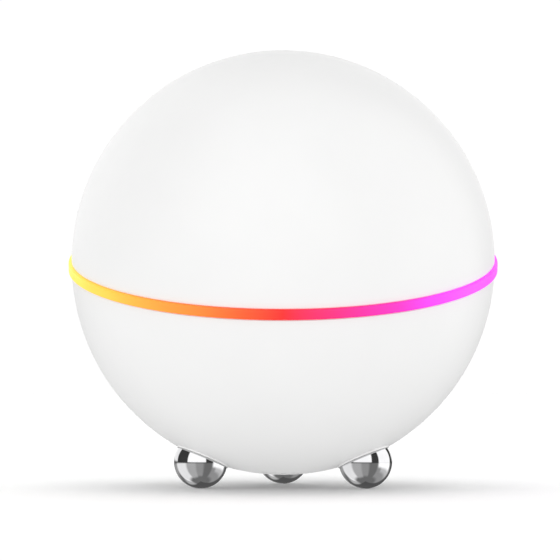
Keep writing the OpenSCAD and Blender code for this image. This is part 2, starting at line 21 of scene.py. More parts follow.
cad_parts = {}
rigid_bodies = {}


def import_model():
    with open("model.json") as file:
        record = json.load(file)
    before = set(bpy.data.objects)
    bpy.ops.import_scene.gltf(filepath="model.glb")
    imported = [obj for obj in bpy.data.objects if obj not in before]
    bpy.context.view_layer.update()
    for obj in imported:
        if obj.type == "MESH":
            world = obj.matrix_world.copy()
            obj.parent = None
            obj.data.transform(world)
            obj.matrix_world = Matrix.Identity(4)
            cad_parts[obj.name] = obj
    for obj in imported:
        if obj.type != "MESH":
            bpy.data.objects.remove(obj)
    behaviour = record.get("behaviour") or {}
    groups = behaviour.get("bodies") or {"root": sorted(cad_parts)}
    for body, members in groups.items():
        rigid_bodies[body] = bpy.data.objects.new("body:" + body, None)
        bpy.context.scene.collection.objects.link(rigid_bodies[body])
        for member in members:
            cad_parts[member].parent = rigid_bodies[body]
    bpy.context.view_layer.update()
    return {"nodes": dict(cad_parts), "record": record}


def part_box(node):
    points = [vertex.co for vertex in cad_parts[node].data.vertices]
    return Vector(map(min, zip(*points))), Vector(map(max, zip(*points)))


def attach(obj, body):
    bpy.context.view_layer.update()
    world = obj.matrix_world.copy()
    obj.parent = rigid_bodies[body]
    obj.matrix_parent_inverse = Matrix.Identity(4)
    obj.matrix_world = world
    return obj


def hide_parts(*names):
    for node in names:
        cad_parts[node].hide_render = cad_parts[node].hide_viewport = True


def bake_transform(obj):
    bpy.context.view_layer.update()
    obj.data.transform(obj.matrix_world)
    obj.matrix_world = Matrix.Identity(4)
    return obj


for leftover in list(bpy.data.objects):
    bpy.data.objects.remove(leftover)
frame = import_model()
NODES = frame["nodes"]

# %% [markdown]
# ## Places
# A maker works from a few datums. Here they are the sphere's centre, the axis of the light band,
# which leans 15.6 degrees forwards, the axes of the three feet, and the loudspeaker's front plane.
# Each datum becomes a matrix, so a part can be drawn upright at the origin and then put in its place.

# %% Datums
MM = 0.001
BODY_R = 55 * MM
CENTRE = Vector((0, 0, 58.5 * MM))
RING_TILT = math.radians(15.6)
RING_HALF = 1.25 * MM
BALL_R = 6.85 * MM
HALF_SHIFT = 0.2 * MM

TILTED = Matrix.Translation(CENTRE) @ Matrix.Rotation(RING_TILT, 4, "X")
LEVEL = Matrix.Translation(CENTRE)
DRIVER = LEVEL @ Matrix.Translation((0, 0, -36 * MM))

foot_low, foot_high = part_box("foot_ball_rear")
foot_circle_r = (foot_low.y + foot_high.y) / 2
foot_reach = math.hypot(foot_circle_r, CENTRE.z - BALL_R)
foot_angle = math.atan2(foot_circle_r, CENTRE.z - BALL_R)
FOOT_TURNS = {"left": -162, "right": -18, "rear": 90}


def foot_aim(turn):
    """Turns +Z to point out through the middle of the ball foot that stands at this angle."""
    return Matrix.Rotation(math.radians(turn), 4, "Z") @ Matrix.Rotation(math.pi - foot_angle, 4, "Y")


print("the ball centres are", round(foot_reach / MM, 2), "mm from the sphere's centre")

# %% [markdown]
# ## Camera
# A long lens from twelve radii away, three centimetres above the table, sees the ball almost square
# on. It looks up very slightly, so the table shrinks to a thin strip under the object.

# %% Camera
LENS = 162.6
CAMERA_RADII = 12
LOWERED, LOOKS_UP, LOOKS_LEFT = (math.radians(a) for a in (2.5, 2.106, 0.07))
camera_data = bpy.data.cameras.new("camera")
camera_data.sensor_width = 36
camera_data.lens = LENS
camera_data.clip_start, camera_data.clip_end = 0.01, 50
camera = bpy.data.objects.new("camera", camera_data)
bpy.context.scene.collection.objects.link(camera)
bpy.context.scene.camera = camera
camera.location = CENTRE - CAMERA_RADII * BODY_R * Vector((0, math.cos(LOWERED), math.sin(LOWERED)))
camera.rotation_euler = (math.pi / 2 + LOOKS_UP, 0, LOOKS_LEFT)
print("the camera is", round(camera.location.z / MM, 1), "mm above the table")

# %% [markdown]
# ## Studio
# White products are shot in a white room, and polished metal shows that room in its surface: bright
# panels, and the darker gaps between them. So the surroundings are a dome with panels painted on it by
# direction, which light the object from all sides as soft boxes do. Two paintings share the dome: a
# soft one that lights matt surfaces, and a crisp one that only mirrors see. In both, the half under
# the horizon stands in for the light that the table throws back, so that its strength and its place in
# the balls can be set without touching the table. Light that has already left one matt surface gets
# less of it, or the shell's underside would light up its own shadow. Straight behind the object the
# dome is plain white.

# %% Studio surroundings
def wire_up(tree, kind, inputs=(), **settings):
    """Adds a node, sets its properties, and links or sets its inputs by name or number."""
    made = tree.nodes.new(kind)
    for key, value in settings.items():
        setattr(made, key, value)
    for key, value in dict(inputs).items():
        if isinstance(value, bpy.types.NodeSocket):
            tree.links.new(value, made.inputs[key])
        else:
            made.inputs[key].default_value = value
    return made


def calc(tree, operation, a, b=0.0, c=0.0):
    return wire_up(tree, "ShaderNodeMath", {0: a, 1: b, 2: c}, operation=operation).outputs[0]


def mix(tree, share, first, second):
    """The first value where share is 0 and the second where it is 1."""
    return wire_up(tree, "ShaderNodeMix", {"Factor": share, "A": first, "B": second}).outputs[0]


def ease(tree, value, low, high, out_low=0.0, out_high=1.0):
    """A smooth step: out_low below low, out_high above high."""
    inputs = {"Value": value, "From Min": low, "From Max": high, "To Min": out_low, "To Max": out_high}
    return wire_up(tree, "ShaderNodeMapRange", inputs, interpolation_type="SMOOTHSTEP").outputs[0]


def patches(tree, angle, height, table, start, soft):
    """The light from this direction: start, plus each patch of the table that the direction is in."""
    total = calc(tree, "ADD", start, 0.0)
    for left, right, low, high, strength in table:
        sides = calc(tree, "MULTIPLY", ease(tree, angle, left - soft, left + soft),
                     ease(tree, angle, right - soft, right + soft, 1.0, 0.0))
        ends = calc(tree, "MULTIPLY", ease(tree, height, low - soft, low + soft),
                    ease(tree, height, high - soft, high + soft, 1.0, 0.0))
        total = calc(tree, "MULTIPLY_ADD", calc(tree, "MULTIPLY", sides, ends), strength, total)
    return total


world = bpy.data.worlds.new("studio")
bpy.context.scene.world = world
world.use_nodes = True
sky = world.node_tree
sky.nodes.clear()
sky_place = wire_up(sky, "ShaderNodeTexCoord").outputs["Generated"]
direction = wire_up(sky, "ShaderNodeSeparateXYZ", {0: sky_place})
across = calc(sky, "DEGREES", calc(sky, "ARCTAN2", direction.outputs[0],
                                   calc(sky, "MULTIPLY", direction.outputs[1], -1.0)))
off_front = calc(sky, "ABSOLUTE", across)
height = calc(sky, "DEGREES", calc(sky, "ARCSINE", direction.outputs[2]))
FILL = [
    # (from, to, lowest, highest, light): degrees off the front either way, degrees above the horizon
    (-30, 60, -15, 25, 2.07),
    (-30, 60, 25, 60, 0.50),
    (60, 120, -15, 25, 1.72),
    (60, 120, 25, 60, 0.20),
    (120, 210, -15, 25, 2.30),
    (120, 210, 25, 60, 0.46),
    (-30, 210, 60, 120, 1.87),
]
TABLE_ONCE, TABLE_TWICE = 0.92, 0.15    # light off the table, for its first bounce and for later ones
GAP_LIGHT = 0.06                        # what the mirrored room gives between its panels
BACKDROP = 1.02                         # straight behind the object, a little over plain white
PANELS = [
    # the same, but degrees round from the front, + to the right
    (-57, 25, 0, 60, 1.5),
    (58, 128, -3, 60, 1.5),
    (-200, -118, 0, 60, 1.2),
    (152, 200, 0, 60, 1.2),
    (-200, 200, 60, 120, 1.0),
]
TABLE_PATCHES = [
    # the table as the balls mirror it, over the little that its darkest part gives
    (-150, 140, -120, 20, 0.10),
    (-125, -65, -60, 20, 1.0),
    (-155, -120, -66, -40, 0.45),
    (-210, -125, -22, 20, 0.25),
    (-65, -20, -66, 20, 0.38),
    (-20, 15, -62, 20, 0.20),
    (58, 128, -18, 20, 1.5),
    (55, 140, -60, -16, 0.20),
    (75, 135, -34, -16, 0.35),
]
rays = wire_up(sky, "ShaderNodeLightPath")
bounces = calc(sky, "SUBTRACT", rays.outputs["Diffuse Depth"], rays.outputs["Is Diffuse Ray"])
table_light = calc(sky, "MULTIPLY", ease(sky, height, -25, -5, 1.0, 0.0),
                   ease(sky, bounces, 0.4, 0.6, TABLE_ONCE, TABLE_TWICE))
fill_light = patches(sky, off_front, height, FILL, table_light, 10)
mirror_table = calc(sky, "MULTIPLY", ease(sky, height, -6, -1, 1.0, 0.0),
                    patches(sky, across, height, TABLE_PATCHES, GAP_LIGHT, 7))
mirror_light = patches(sky, across, height, PANELS, calc(sky, "ADD", mirror_table, GAP_LIGHT), 2.5)
unseen = mix(sky, rays.outputs["Is Glossy Ray"], fill_light, mirror_light)
shown = mix(sky, rays.outputs["Is Camera Ray"], unseen, BACKDROP)
background = wire_up(sky, "ShaderNodeBackground", {"Color": (1, 1, 1, 1), "Strength": shown})
wire_up(sky, "ShaderNodeOutputWorld", {"Surface": background.outputs[0]})
bpy.context.scene.view_settings.view_transform = "Standard"
print("the studio has", len(FILL), "soft zones and", len(PANELS), "panels")

# %% [markdown]
# ## Surfaces
# Real surfaces are never one flat colour. Moulded plastic carries the fine grain of its mould and
# faint shade changes from the flow of the melt; steel carries rolling or polishing marks; a board
# shows copper under its varnish. These helpers layer such detail at its true size, so that a feature
# of a tenth of a millimetre is drawn as one.

# %% Helpers for surfaces
def start_surface(name, along_ring=False):
    """A new material, its node tree, its shader, and a point's place, on the object or along the ring."""
    made = bpy.data.materials.new(name)
    made.use_nodes = True
    tree = made.node_tree
    place = wire_up(tree, "ShaderNodeTexCoord").outputs["Object"]
    if along_ring:
        place = wire_up(tree, "ShaderNodeVectorMath", {0: place, 1: CENTRE}, operation="SUBTRACT").outputs[0]
        turn = {"Vector": place, "Angle": -RING_TILT}
        place = wire_up(tree, "ShaderNodeVectorRotate", turn, rotation_type="X_AXIS").outputs[0]
    return made, tree, tree.nodes["Principled BSDF"], place


def mottle(tree, place, size_mm, detail=2.0, stretch=None):
    """Soft random patches about this many millimetres across, from 0 to 1."""
    if stretch:
        place = wire_up(tree, "ShaderNodeMapping", {"Vector": place, "Scale": stretch}).outputs[0]
    inputs = {"Vector": place, "Scale": 1 / (size_mm * MM), "Detail": detail, "Roughness": 0.55}
    return wire_up(tree, "ShaderNodeTexNoise", inputs).outputs[0]


def between(tree, share, low, high):
    """Turns mottling into a value that moves between low and high."""
    inputs = {"Value": share, "From Min": 0.3, "From Max": 0.7, "To Min": low, "To Max": high}
    return wire_up(tree, "ShaderNodeMapRange", inputs).outputs[0]


def blend_colours(tree, share, first, second):
    """The first colour where share is 0 and the second where it is 1."""
    made = wire_up(tree, "ShaderNodeMix", data_type="RGBA")
    for socket, value in ((made.inputs[0], share), (made.inputs[6], first), (made.inputs[7], second)):
        if isinstance(value, bpy.types.NodeSocket):
            tree.links.new(value, socket)
        else:
            socket.default_value = (*value, 1.0) if isinstance(value, tuple) else value
    return made.outputs[2]


def raise_by(tree, height_share, depth_mm):
    """A normal from a height map whose full range is depth_mm."""
    inputs = {"Height": height_share, "Distance": depth_mm * MM, "Strength": 1.0}
    return wire_up(tree, "ShaderNodeBump", inputs).outputs[0]


def shade(colour, factor):
    return tuple(min(1.0, c * factor) for c in colour)


def surface_of(tree, surface, colour, rough, normal):
    """Links the three things that vary over a surface."""
    tree.links.new(colour, surface.inputs["Base Color"])
    tree.links.new(rough, surface.inputs["Roughness"])
    tree.links.new(normal, surface.inputs["Normal"])


def moulded(name, colour, rough=0.42, grain_mm=0.12, grain_depth=0.004, drift=0.03, **sockets):
    """Moulded plastic or rubber: fine mould grain, a faint drift in shade, uneven gloss."""
    made, tree, surface, place = start_surface(name)
    flow = between(tree, mottle(tree, place, 14, 3), 0, 1)
    surface_of(tree, surface,
               blend_colours(tree, flow, shade(colour, 1 - drift), shade(colour, 1 + drift)),
               between(tree, mottle(tree, place, 3, 2), rough - 0.04, rough + 0.04),
               raise_by(tree, mottle(tree, place, grain_mm, 3), grain_depth))
    for key, value in sockets.items():
        surface.inputs[key.replace("_", " ")].default_value = value
    return made


def metal(name, colour, rough, stretch=None, line_mm=0.08, depth=0.002, drift=0.06):
    """Bare or plated metal with working marks. stretch draws the marks out along an axis."""
    made, tree, surface, place = start_surface(name)
    surface.inputs["Metallic"].default_value = 1.0
    marks = mottle(tree, place, line_mm, 2, stretch)
    cloud = between(tree, mottle(tree, place, 4, 2), 0, 1)
    surface_of(tree, surface,
               blend_colours(tree, cloud, shade(colour, 1 - drift), shade(colour, 1 + drift)),
               between(tree, marks, rough * 0.75, rough * 1.3),
               raise_by(tree, marks, depth))
    return made


# %% [markdown]
# ### White shell
# The shells are a satin white plastic. Up close it has the fine even texture that hides finger marks,
# a tenth of a millimetre across and only a few thousandths deep. Its gloss drifts a little, as it does
# on every moulding.

# %% White plastics
shell_white = moulded("satin_white", (0.72, 0.72, 0.718), rough=0.46, grain_mm=0.11,
                      grain_depth=0.0022, drift=0.006, Specular_IOR_Level=0.4)
socket_white = moulded("socket_white", (0.74, 0.74, 0.738), rough=0.34, grain_mm=0.1,
                       grain_depth=0.0015, drift=0.006, Specular_IOR_Level=0.5)
panel_white = moulded("panel_white", (0.62, 0.62, 0.615), rough=0.55, grain_mm=0.16,
                      grain_depth=0.012, drift=0.01)
print("white plastics:", shell_white.name, socket_white.name, panel_white.name)

# %% [markdown]
# ### Glowing plastic
# Behind the band sit small lamps, each with its own colour, and the milky plastic melts them into one
# rainbow. It could be drawn with one lamp per colour, but the plastic's glow is what shows, so the
# band gets the glow itself: a colour that depends on the direction round the ring, and a slight swell
# in front of each lamp. Milky plastic never glows in a pure colour, so each hue also has its own
# saturation: the reds are the fullest and the yellows and magentas the palest.

# %% Glowing plastic
BAND_COLOURS = [
    # degrees round from the front, hue in degrees on the colour circle, saturation
    (-180, 188, 0.70), (-160, 172, 0.70), (-138, 140, 0.70), (-118, 100, 0.70), (-100, 66, 0.68),
    (-84, 47, 0.68), (-72, 44, 0.70), (-60, 40, 0.74), (-50, 36, 0.76), (-38, 28, 0.78), (-20, 19, 0.81),
    (-10, 11, 0.83), (0, 0, 0.83), (12, -18, 0.83), (20, -27, 0.83), (30, -35, 0.81), (40, -46, 0.77),
    (50, -59, 0.74), (60, -60, 0.73), (80, -60, 0.74), (100, -71, 0.70), (122, -98, 0.70),
    (145, -130, 0.70), (180, -172, 0.70),
]
LAMPS = 24
GLOW, SWELL = 0.3, 0.02


def hue_colour(degrees, saturation):
    """A colour of this hue and saturation, in linear light."""
    third = (degrees % 360) / 60
    raised = [max(0.0, min(1.0, abs((third + k) % 6 - 3) - 1)) for k in (0, 4, 2)]
    display = [1 - saturation * (1 - c) for c in raised]
    return [c ** 2.2 for c in display]


def lit_band():
    made, tree, surface, place = start_surface("lit_band", along_ring=True)
    parts = wire_up(tree, "ShaderNodeSeparateXYZ", {0: place})
    forward = calc(tree, "MULTIPLY", parts.outputs[1], -1.0)
    turn = calc(tree, "DIVIDE", calc(tree, "ARCTAN2", parts.outputs[0], forward), 2 * math.pi)
    share = calc(tree, "ADD", turn, 0.5)
    ramp = wire_up(tree, "ShaderNodeValToRGB", {"Fac": share})
    stops = ramp.color_ramp.elements
    while len(stops) < len(BAND_COLOURS):
        stops.new(0.5)
    for stop, (angle, hue, saturation) in zip(stops, BAND_COLOURS):
        stop.position = (angle + 180) / 360
        stop.color = (*hue_colour(hue, saturation), 1.0)
    lamp_wave = calc(tree, "COSINE", calc(tree, "MULTIPLY", share, 2 * math.pi * LAMPS))
    tree.links.new(ramp.outputs[0], surface.inputs["Emission Color"])
    tree.links.new(calc(tree, "MULTIPLY_ADD", lamp_wave, -SWELL, GLOW), surface.inputs["Emission Strength"])
    surface_of(tree, surface, ramp.outputs[0],
               between(tree, mottle(tree, place, 0.5), 0.4, 0.5),
               raise_by(tree, mottle(tree, place, 0.1, 3), 0.002))
    surface.inputs["Specular IOR Level"].default_value = 0.25
    return made


band_glow = lit_band()
print("the band runs through", len(BAND_COLOURS), "colours over", LAMPS, "lamps")

# %% [markdown]
# ### Polished steel
# The feet are steel bearing balls. They are as near to a mirror as metal gets, so nearly all of their
# look is the room. What remains is the finest of polishing marks and a breath of haze.

# %% Polished steel
def polished_steel():
    made, tree, surface, place = start_surface("polished_steel")
    surface.inputs["Metallic"].default_value = 1.0
    haze = mottle(tree, place, 5, 3)
    surface_of(tree, surface,
               blend_colours(tree, between(tree, haze, 0, 1), (0.60, 0.60, 0.61), (0.66, 0.66, 0.665)),
               between(tree, haze, 0.03, 0.07),
               raise_by(tree, mottle(tree, place, 0.05, 2, (1, 1, 6)), 0.00006))
    return made


ball_steel = polished_steel()
print("made", ball_steel.name)

# %% [markdown]
# ### Circuit boards
# A board is green varnish over copper. The copper runs in straight tracks that turn at right angles or
# at 45 degrees, and plated holes dot it. Two brick patterns give the tracks, because the gaps between
# bricks are straight, thin and staggered, and a cell pattern gives the holes.

# %% Circuit board
def tracks(tree, place, turn, length_mm, pitch_mm):
    """1 on staggered tracks a fifth of a millimetre wide, and 0 between them."""
    spun = wire_up(tree, "ShaderNodeMapping", {"Vector": place, "Rotation": (0, 0, math.radians(turn))})
    inputs = {"Vector": spun.outputs[0], "Scale": 1 / MM, "Mortar Size": 0.09, "Mortar Smooth": 0.2,
              "Brick Width": length_mm, "Row Height": pitch_mm}
    return wire_up(tree, "ShaderNodeTexBrick", inputs).outputs["Fac"]


def circuit_board():
    made, tree, surface, place = start_surface("circuit_board", along_ring=True)
    straight, slanted = tracks(tree, place, 0, 4.3, 0.7), tracks(tree, place, 45, 6.1, 1.1)
    region = ease(tree, mottle(tree, place, 9, 1), 0.46, 0.5)
    copper = mix(tree, region, straight, slanted)
    cells = wire_up(tree, "ShaderNodeTexVoronoi", {"Vector": place, "Scale": 1 / (1.9 * MM)},
                    voronoi_dimensions="2D").outputs["Distance"]
    plated = ease(tree, cells, 0.10, 0.13, 1.0, 0.0)
    varnish = blend_colours(tree, copper, (0.004, 0.075, 0.022), (0.015, 0.17, 0.05))
    surface_of(tree, surface, blend_colours(tree, plated, varnish, (0.55, 0.42, 0.16)),
               between(tree, mottle(tree, place, 1.5), 0.26, 0.36),
               raise_by(tree, copper, 0.02))
    surface.inputs["Coat Weight"].default_value = 0.3
    return made


board_green = circuit_board()
print("made", board_green.name)

# %% [markdown]
# ### Cloth and ribbons
# The loudspeaker's spider is woven cotton stiffened with resin, and the mesh behind the grille is a
# black weave. Two sine waves that cross give threads which pass over and under each other. The flat
# ribbons are amber film with copper strips inside, which are the same wave on one axis only.

# %% Weaves and ribbons
def waves(tree, value, pitch_mm):
    """A wave from -1 to 1 along a coordinate."""
    return calc(tree, "SINE", calc(tree, "MULTIPLY", value, 2 * math.pi / (pitch_mm * MM)))


def woven(name, thread, gap, pitch_mm, depth_mm, rough=0.8):
    made, tree, surface, place = start_surface(name)
    parts = wire_up(tree, "ShaderNodeSeparateXYZ", {0: place})
    crossing = calc(tree, "MULTIPLY", waves(tree, parts.outputs[0], pitch_mm),
                    waves(tree, parts.outputs[1], pitch_mm))
    height_share = calc(tree, "MULTIPLY_ADD", calc(tree, "ABSOLUTE", crossing), 0.8,
                        calc(tree, "MULTIPLY", mottle(tree, place, 0.05), 0.2))
    surface_of(tree, surface, blend_colours(tree, height_share, gap, thread),
               between(tree, mottle(tree, place, 2), rough - 0.06, rough + 0.06),
               raise_by(tree, height_share, depth_mm))
    return made


def ribbon(name, axis, pitch_mm):
    """Amber film with copper strips side by side along one axis of the object."""
    made, tree, surface, place = start_surface(name)
    along = wire_up(tree, "ShaderNodeSeparateXYZ", {0: place}).outputs[axis]
    strip = ease(tree, waves(tree, along, pitch_mm), -0.15, 0.15)
    surface_of(tree, surface, blend_colours(tree, strip, (0.42, 0.17, 0.02), (0.70, 0.36, 0.10)),
               between(tree, mottle(tree, place, 2), 0.22, 0.32),
               raise_by(tree, strip, 0.02))
    surface.inputs["Coat Weight"].default_value = 0.4
    return made


spider_cloth = woven("spider_cloth", (0.62, 0.38, 0.12), (0.30, 0.15, 0.03), 0.45, 0.06)
mesh_black = woven("mesh_black", (0.030, 0.030, 0.032), (0.002, 0.002, 0.002), 0.36, 0.09, 0.6)
print("made", spider_cloth.name, "and", mesh_black.name)

# %% [markdown]
# ### Copper winding, pressed paper and the rest
# The remaining finishes are variations on moulded plastic and metal. The numbers that matter are how
# coarse the grain is and how deep: pressed paper and ferrite are coarse, chips are fine, nylon is
# smooth. The heat sink is drawn aluminium, so its marks run along the drawing direction.

# %% The other finishes
SURFACES = {
    "shell_white": shell_white,
    "socket_white": socket_white,
    "panel_white": panel_white,
    "light_ring": band_glow,
    "ball_chrome": ball_steel,
    "board_green": board_green,
    "spider_cloth": spider_cloth,
    "mesh_black": mesh_black,
    "ribbon_amber": ribbon("ribbon_amber", 0, 0.9),
    "cone_paper": moulded("cone_paper", (0.030, 0.029, 0.030), 0.75, 0.35, 0.050, 0.18, Sheen_Weight=0.3),
    "soft_black": moulded("soft_black", (0.018, 0.018, 0.019), 0.58, 0.18, 0.008, 0.08, Sheen_Weight=0.2),
}
MOULDINGS = {
    # colour, roughness, size and depth of the grain in millimetres, drift in shade
    "button_grey": ((0.50, 0.50, 0.50), 0.40, 0.10, 0.004),
    "black_plastic": ((0.022, 0.022, 0.024), 0.48, 0.14, 0.008, 0.06),
    "inner_white": ((0.72, 0.72, 0.70), 0.50, 0.20, 0.006),
    "chip_black": ((0.018, 0.018, 0.020), 0.62, 0.05, 0.004, 0.10),
    "lamp_white": ((0.80, 0.78, 0.68), 0.30, 0.15, 0.002),
    "magnet_ferrite": ((0.060, 0.060, 0.066), 0.70, 0.25, 0.030, 0.15),
    "pad_blue": ((0.16, 0.36, 0.62), 0.55, 0.12, 0.010, 0.05),
    "terminal_board": ((0.28, 0.14, 0.055), 0.50, 0.20, 0.012, 0.12),
    "cable_black": ((0.015, 0.015, 0.016), 0.42, 0.30, 0.004, 0.05),
    "cable_red": ((0.42, 0.018, 0.015), 0.40, 0.30, 0.004, 0.04),
    "connector_ivory": ((0.74, 0.70, 0.58), 0.36, 0.20, 0.003),
}
METALS = {
    # colour, roughness, how the marks are drawn out, their size and depth in millimetres, drift
    "bright_metal": ((0.60, 0.60, 0.59), 0.26),
    "heat_sink_metal": ((0.52, 0.53, 0.54), 0.34, (6, 0.3, 6), 0.3, 0.004),
    "coil_copper": ((0.72, 0.34, 0.17), 0.24, (1, 1, 4), 0.06, 0.004, 0.12),
    "gold_contact": ((0.83, 0.60, 0.24), 0.20),
}
SURFACES.update({name: moulded(name, *look) for name, look in MOULDINGS.items()})
SURFACES.update({name: metal(name, *look) for name, look in METALS.items()})
led_ribbon_amber = ribbon("led_ribbon_amber", 1, 0.9)
print(len(SURFACES), "finishes")

# %% [markdown]
# ## Drawing parts
# Most of this object is turned: it is a profile spun about an axis. The lathe below does that, and a
# small arc helper rounds the profile's corners, because every real edge has a radius. Flat parts such
# as the rear panel are cut from sheet: an outline with holes, given thickness and rounded edges. The
# rest are blocks with broken edges. All of them are drawn in millimetres around the origin, and a
# placing matrix puts them on their datum.

# %% Turning
def arc(middle, radius, start, end, steps=6):
    """Points on an arc, from one angle in degrees to another."""
    angles = [math.radians(start + (end - start) * k / steps) for k in range(steps + 1)]
    return [(middle[0] + radius * math.cos(a), middle[1] + radius * math.sin(a)) for a in angles]


def to_object(name, shape, place=Matrix.Identity(4), sharp=32):
    """Turns a shape in millimetres into a smooth-shaded object whose sharper edges stay crisp."""
    bmesh.ops.remove_doubles(shape, verts=shape.verts, dist=1e-4)
    bmesh.ops.dissolve_degenerate(shape, edges=shape.edges, dist=1e-5)
    bmesh.ops.recalc_face_normals(shape, faces=shape.faces)
    shape.transform(place @ Matrix.Scale(MM, 4))
    mesh = bpy.data.meshes.new(name)
    shape.to_mesh(mesh)
    shape.free()
    mesh.shade_smooth()
    mesh.set_sharp_from_angle(angle=math.radians(sharp))
    made = bpy.data.objects.new(name, mesh)
    bpy.context.scene.collection.objects.link(made)
    return made


def turned(profile, steps=128, wander=None):
    """Spins a closed profile of (distance from the axis, height) points about Z."""
    shape = bmesh.new()
    rings = []
    for r, z in profile:
        if r < 1e-6:
            rings.append([shape.verts.new((0, 0, z))] * steps)
            continue
        angles = [2 * math.pi * k / steps for k in range(steps)]
        radii = [r + (wander(a, z) if wander else 0) for a in angles]
        rings.append([shape.verts.new((q * math.cos(a), q * math.sin(a), z)) for a, q in zip(angles, radii)])
    for i, low in enumerate(rings):
        high = rings[(i + 1) % len(rings)]
        for k in range(steps):
            corners = [low[k], low[(k + 1) % steps], high[(k + 1) % steps], high[k]]
            unique = list(dict.fromkeys(corners))
            if len(unique) > 2:
                shape.faces.new(unique)
    return shape


def washer(inner, outer, low, high, edge=0.15, steps=96):
    """A turned ring with broken edges."""
    corners = ((inner + edge, low + edge, 180), (outer - edge, low + edge, 270),
               (outer - edge, high - edge, 0), (inner + edge, high - edge, 90))
    return turned([p for r, z, start in corners for p in arc((r, z), edge, start, start + 90, 3)], steps)


# %% [markdown]
# ### Sheet parts and blocks
# A sheet part is a filled outline that a curve thickens and rounds. It is cut lying flat, so three
# turns stand it up: facing the back, facing sideways, or upright with its face to the front.

# %% Sheet parts and blocks
FACING_BACK = Matrix(((-1, 0, 0, 0), (0, 0, 1, 0), (0, 1, 0, 0), (0, 0, 0, 1)))
SIDEWAYS = Matrix(((0, 0, 1, 0), (1, 0, 0, 0), (0, 1, 0, 0), (0, 0, 0, 1)))
UPRIGHT = Matrix.Rotation(math.pi / 2, 4, "X")


def circle(radius, middle=(0, 0), steps=48):
    return arc(middle, radius, 0, 360, steps)[:-1]


def rectangle(width, height, middle=(0, 0), corner=0.3):
    """A rectangle with round corners."""
    x, y = width / 2 - corner, height / 2 - corner
    corners = ((x, y, 0), (-x, y, 90), (-x, -y, 180), (x, -y, 270))
    return [p for a, b, start in corners
            for p in arc((middle[0] + a, middle[1] + b), corner, start, start + 90, 5)]


def slot(width, height, middle=(0, 0), steps=24):
    """An outline with two straight sides and two round ends."""
    reach = (width - height) / 2
    return (arc((middle[0] + reach, middle[1]), height / 2, -90, 90, steps)
            + arc((middle[0] - reach, middle[1]), height / 2, 90, 270, steps))


def shape_of(line):
    """The shape that a curve draws."""
    drawn = bpy.data.objects.new("drawn", line)
    mesh = bpy.data.meshes.new_from_object(drawn)
    shape = bmesh.new()
    shape.from_mesh(mesh)
    bpy.data.meshes.remove(mesh)
    bpy.data.objects.remove(drawn)
    bpy.data.curves.remove(line)
    return shape


def plate(outlines, low, high, edge=0.1):
    """A sheet part between two heights. The first outline is its outside and the others are holes."""
    line = bpy.data.curves.new("outline", "CURVE")
    line.dimensions = "2D"
    line.fill_mode = "BOTH"
    line.extrude = (high - low) / 2 - edge
    line.bevel_depth = edge
    line.bevel_resolution = 2
    line.offset = -edge
    for outline in outlines:
        run = line.splines.new("POLY")
        run.points.add(len(outline) - 1)
        for point, (x, y) in zip(run.points, outline):
            point.co = (x, y, 0, 1)
        run.use_cyclic_u = True
    shape = shape_of(line)
    bmesh.ops.remove_doubles(shape, verts=shape.verts, dist=1e-4)
    bmesh.ops.translate(shape, verts=shape.verts, vec=(0, 0, (high + low) / 2))
    return shape


def block(size, at=(0, 0, 0), edge=0.12):
    """A block with broken edges. at is the middle of its underside."""
    shape = bmesh.new()
    bmesh.ops.create_cube(shape, size=1.0)
    bmesh.ops.scale(shape, vec=size, verts=shape.verts)
    bmesh.ops.translate(shape, vec=(at[0], at[1], at[2] + size[2] / 2), verts=shape.verts)
    bmesh.ops.bevel(shape, geom=shape.edges[:], offset=edge, segments=2, profile=0.7, affect="EDGES")
    return shape


def shift(x, y, z=0.0, turn=0.0):
    """A place: so far along each axis in millimetres, turned by so many degrees about Z."""
    return Matrix.Translation((x, y, z)) @ Matrix.Rotation(math.radians(turn), 4, "Z")


def around(turn, radius=0.0, z=0.0):
    """A place at this radius, in the direction of this angle."""
    return Matrix.Rotation(math.radians(turn), 4, "Z") @ Matrix.Translation((radius, 0, z))


def together(*parts):
    """One shape out of several. A part may be a shape, or a pair of a shape and the places it repeats at."""
    whole = bmesh.new()
    for part in parts:
        drawn, places = part if isinstance(part, tuple) else (part, [Matrix.Identity(4)])
        mesh = bpy.data.meshes.new("part")
        drawn.to_mesh(mesh)
        for place in places:
            copy = mesh.copy()
            copy.transform(place)
            whole.from_mesh(copy)
            bpy.data.meshes.remove(copy)
        bpy.data.meshes.remove(mesh)
        drawn.free()
    return whole


def finish_piece(piece, slot_name, nodes=(), body="housing", surface=None):
    """Gives a piece its surface, from its slot unless one is given, and its body, and hides the CAD nodes
    that it stands for.
    """
    piece.data.materials.append(surface or SURFACES[slot_name])
    if nodes:
        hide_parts(*nodes)
    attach(piece, body)
    return piece


made_pieces = []


def make(name, slot_name, shape, place, nodes=(), body="housing", surface=None, sharp=32):
    """Draws, places and finishes a piece."""
    made_pieces.append(finish_piece(to_object(name, shape, place, sharp), slot_name, nodes, body, surface))
    return made_pieces[-1]


# %% [markdown]
# ## Screws
# All the screws are small machine screws with a flat-topped round head and a hexagonal recess. A
# plain cylinder would do for size, but a thread is what makes a screw read as one, so the shank's
# radius follows a sawtooth that climbs one pitch a turn.

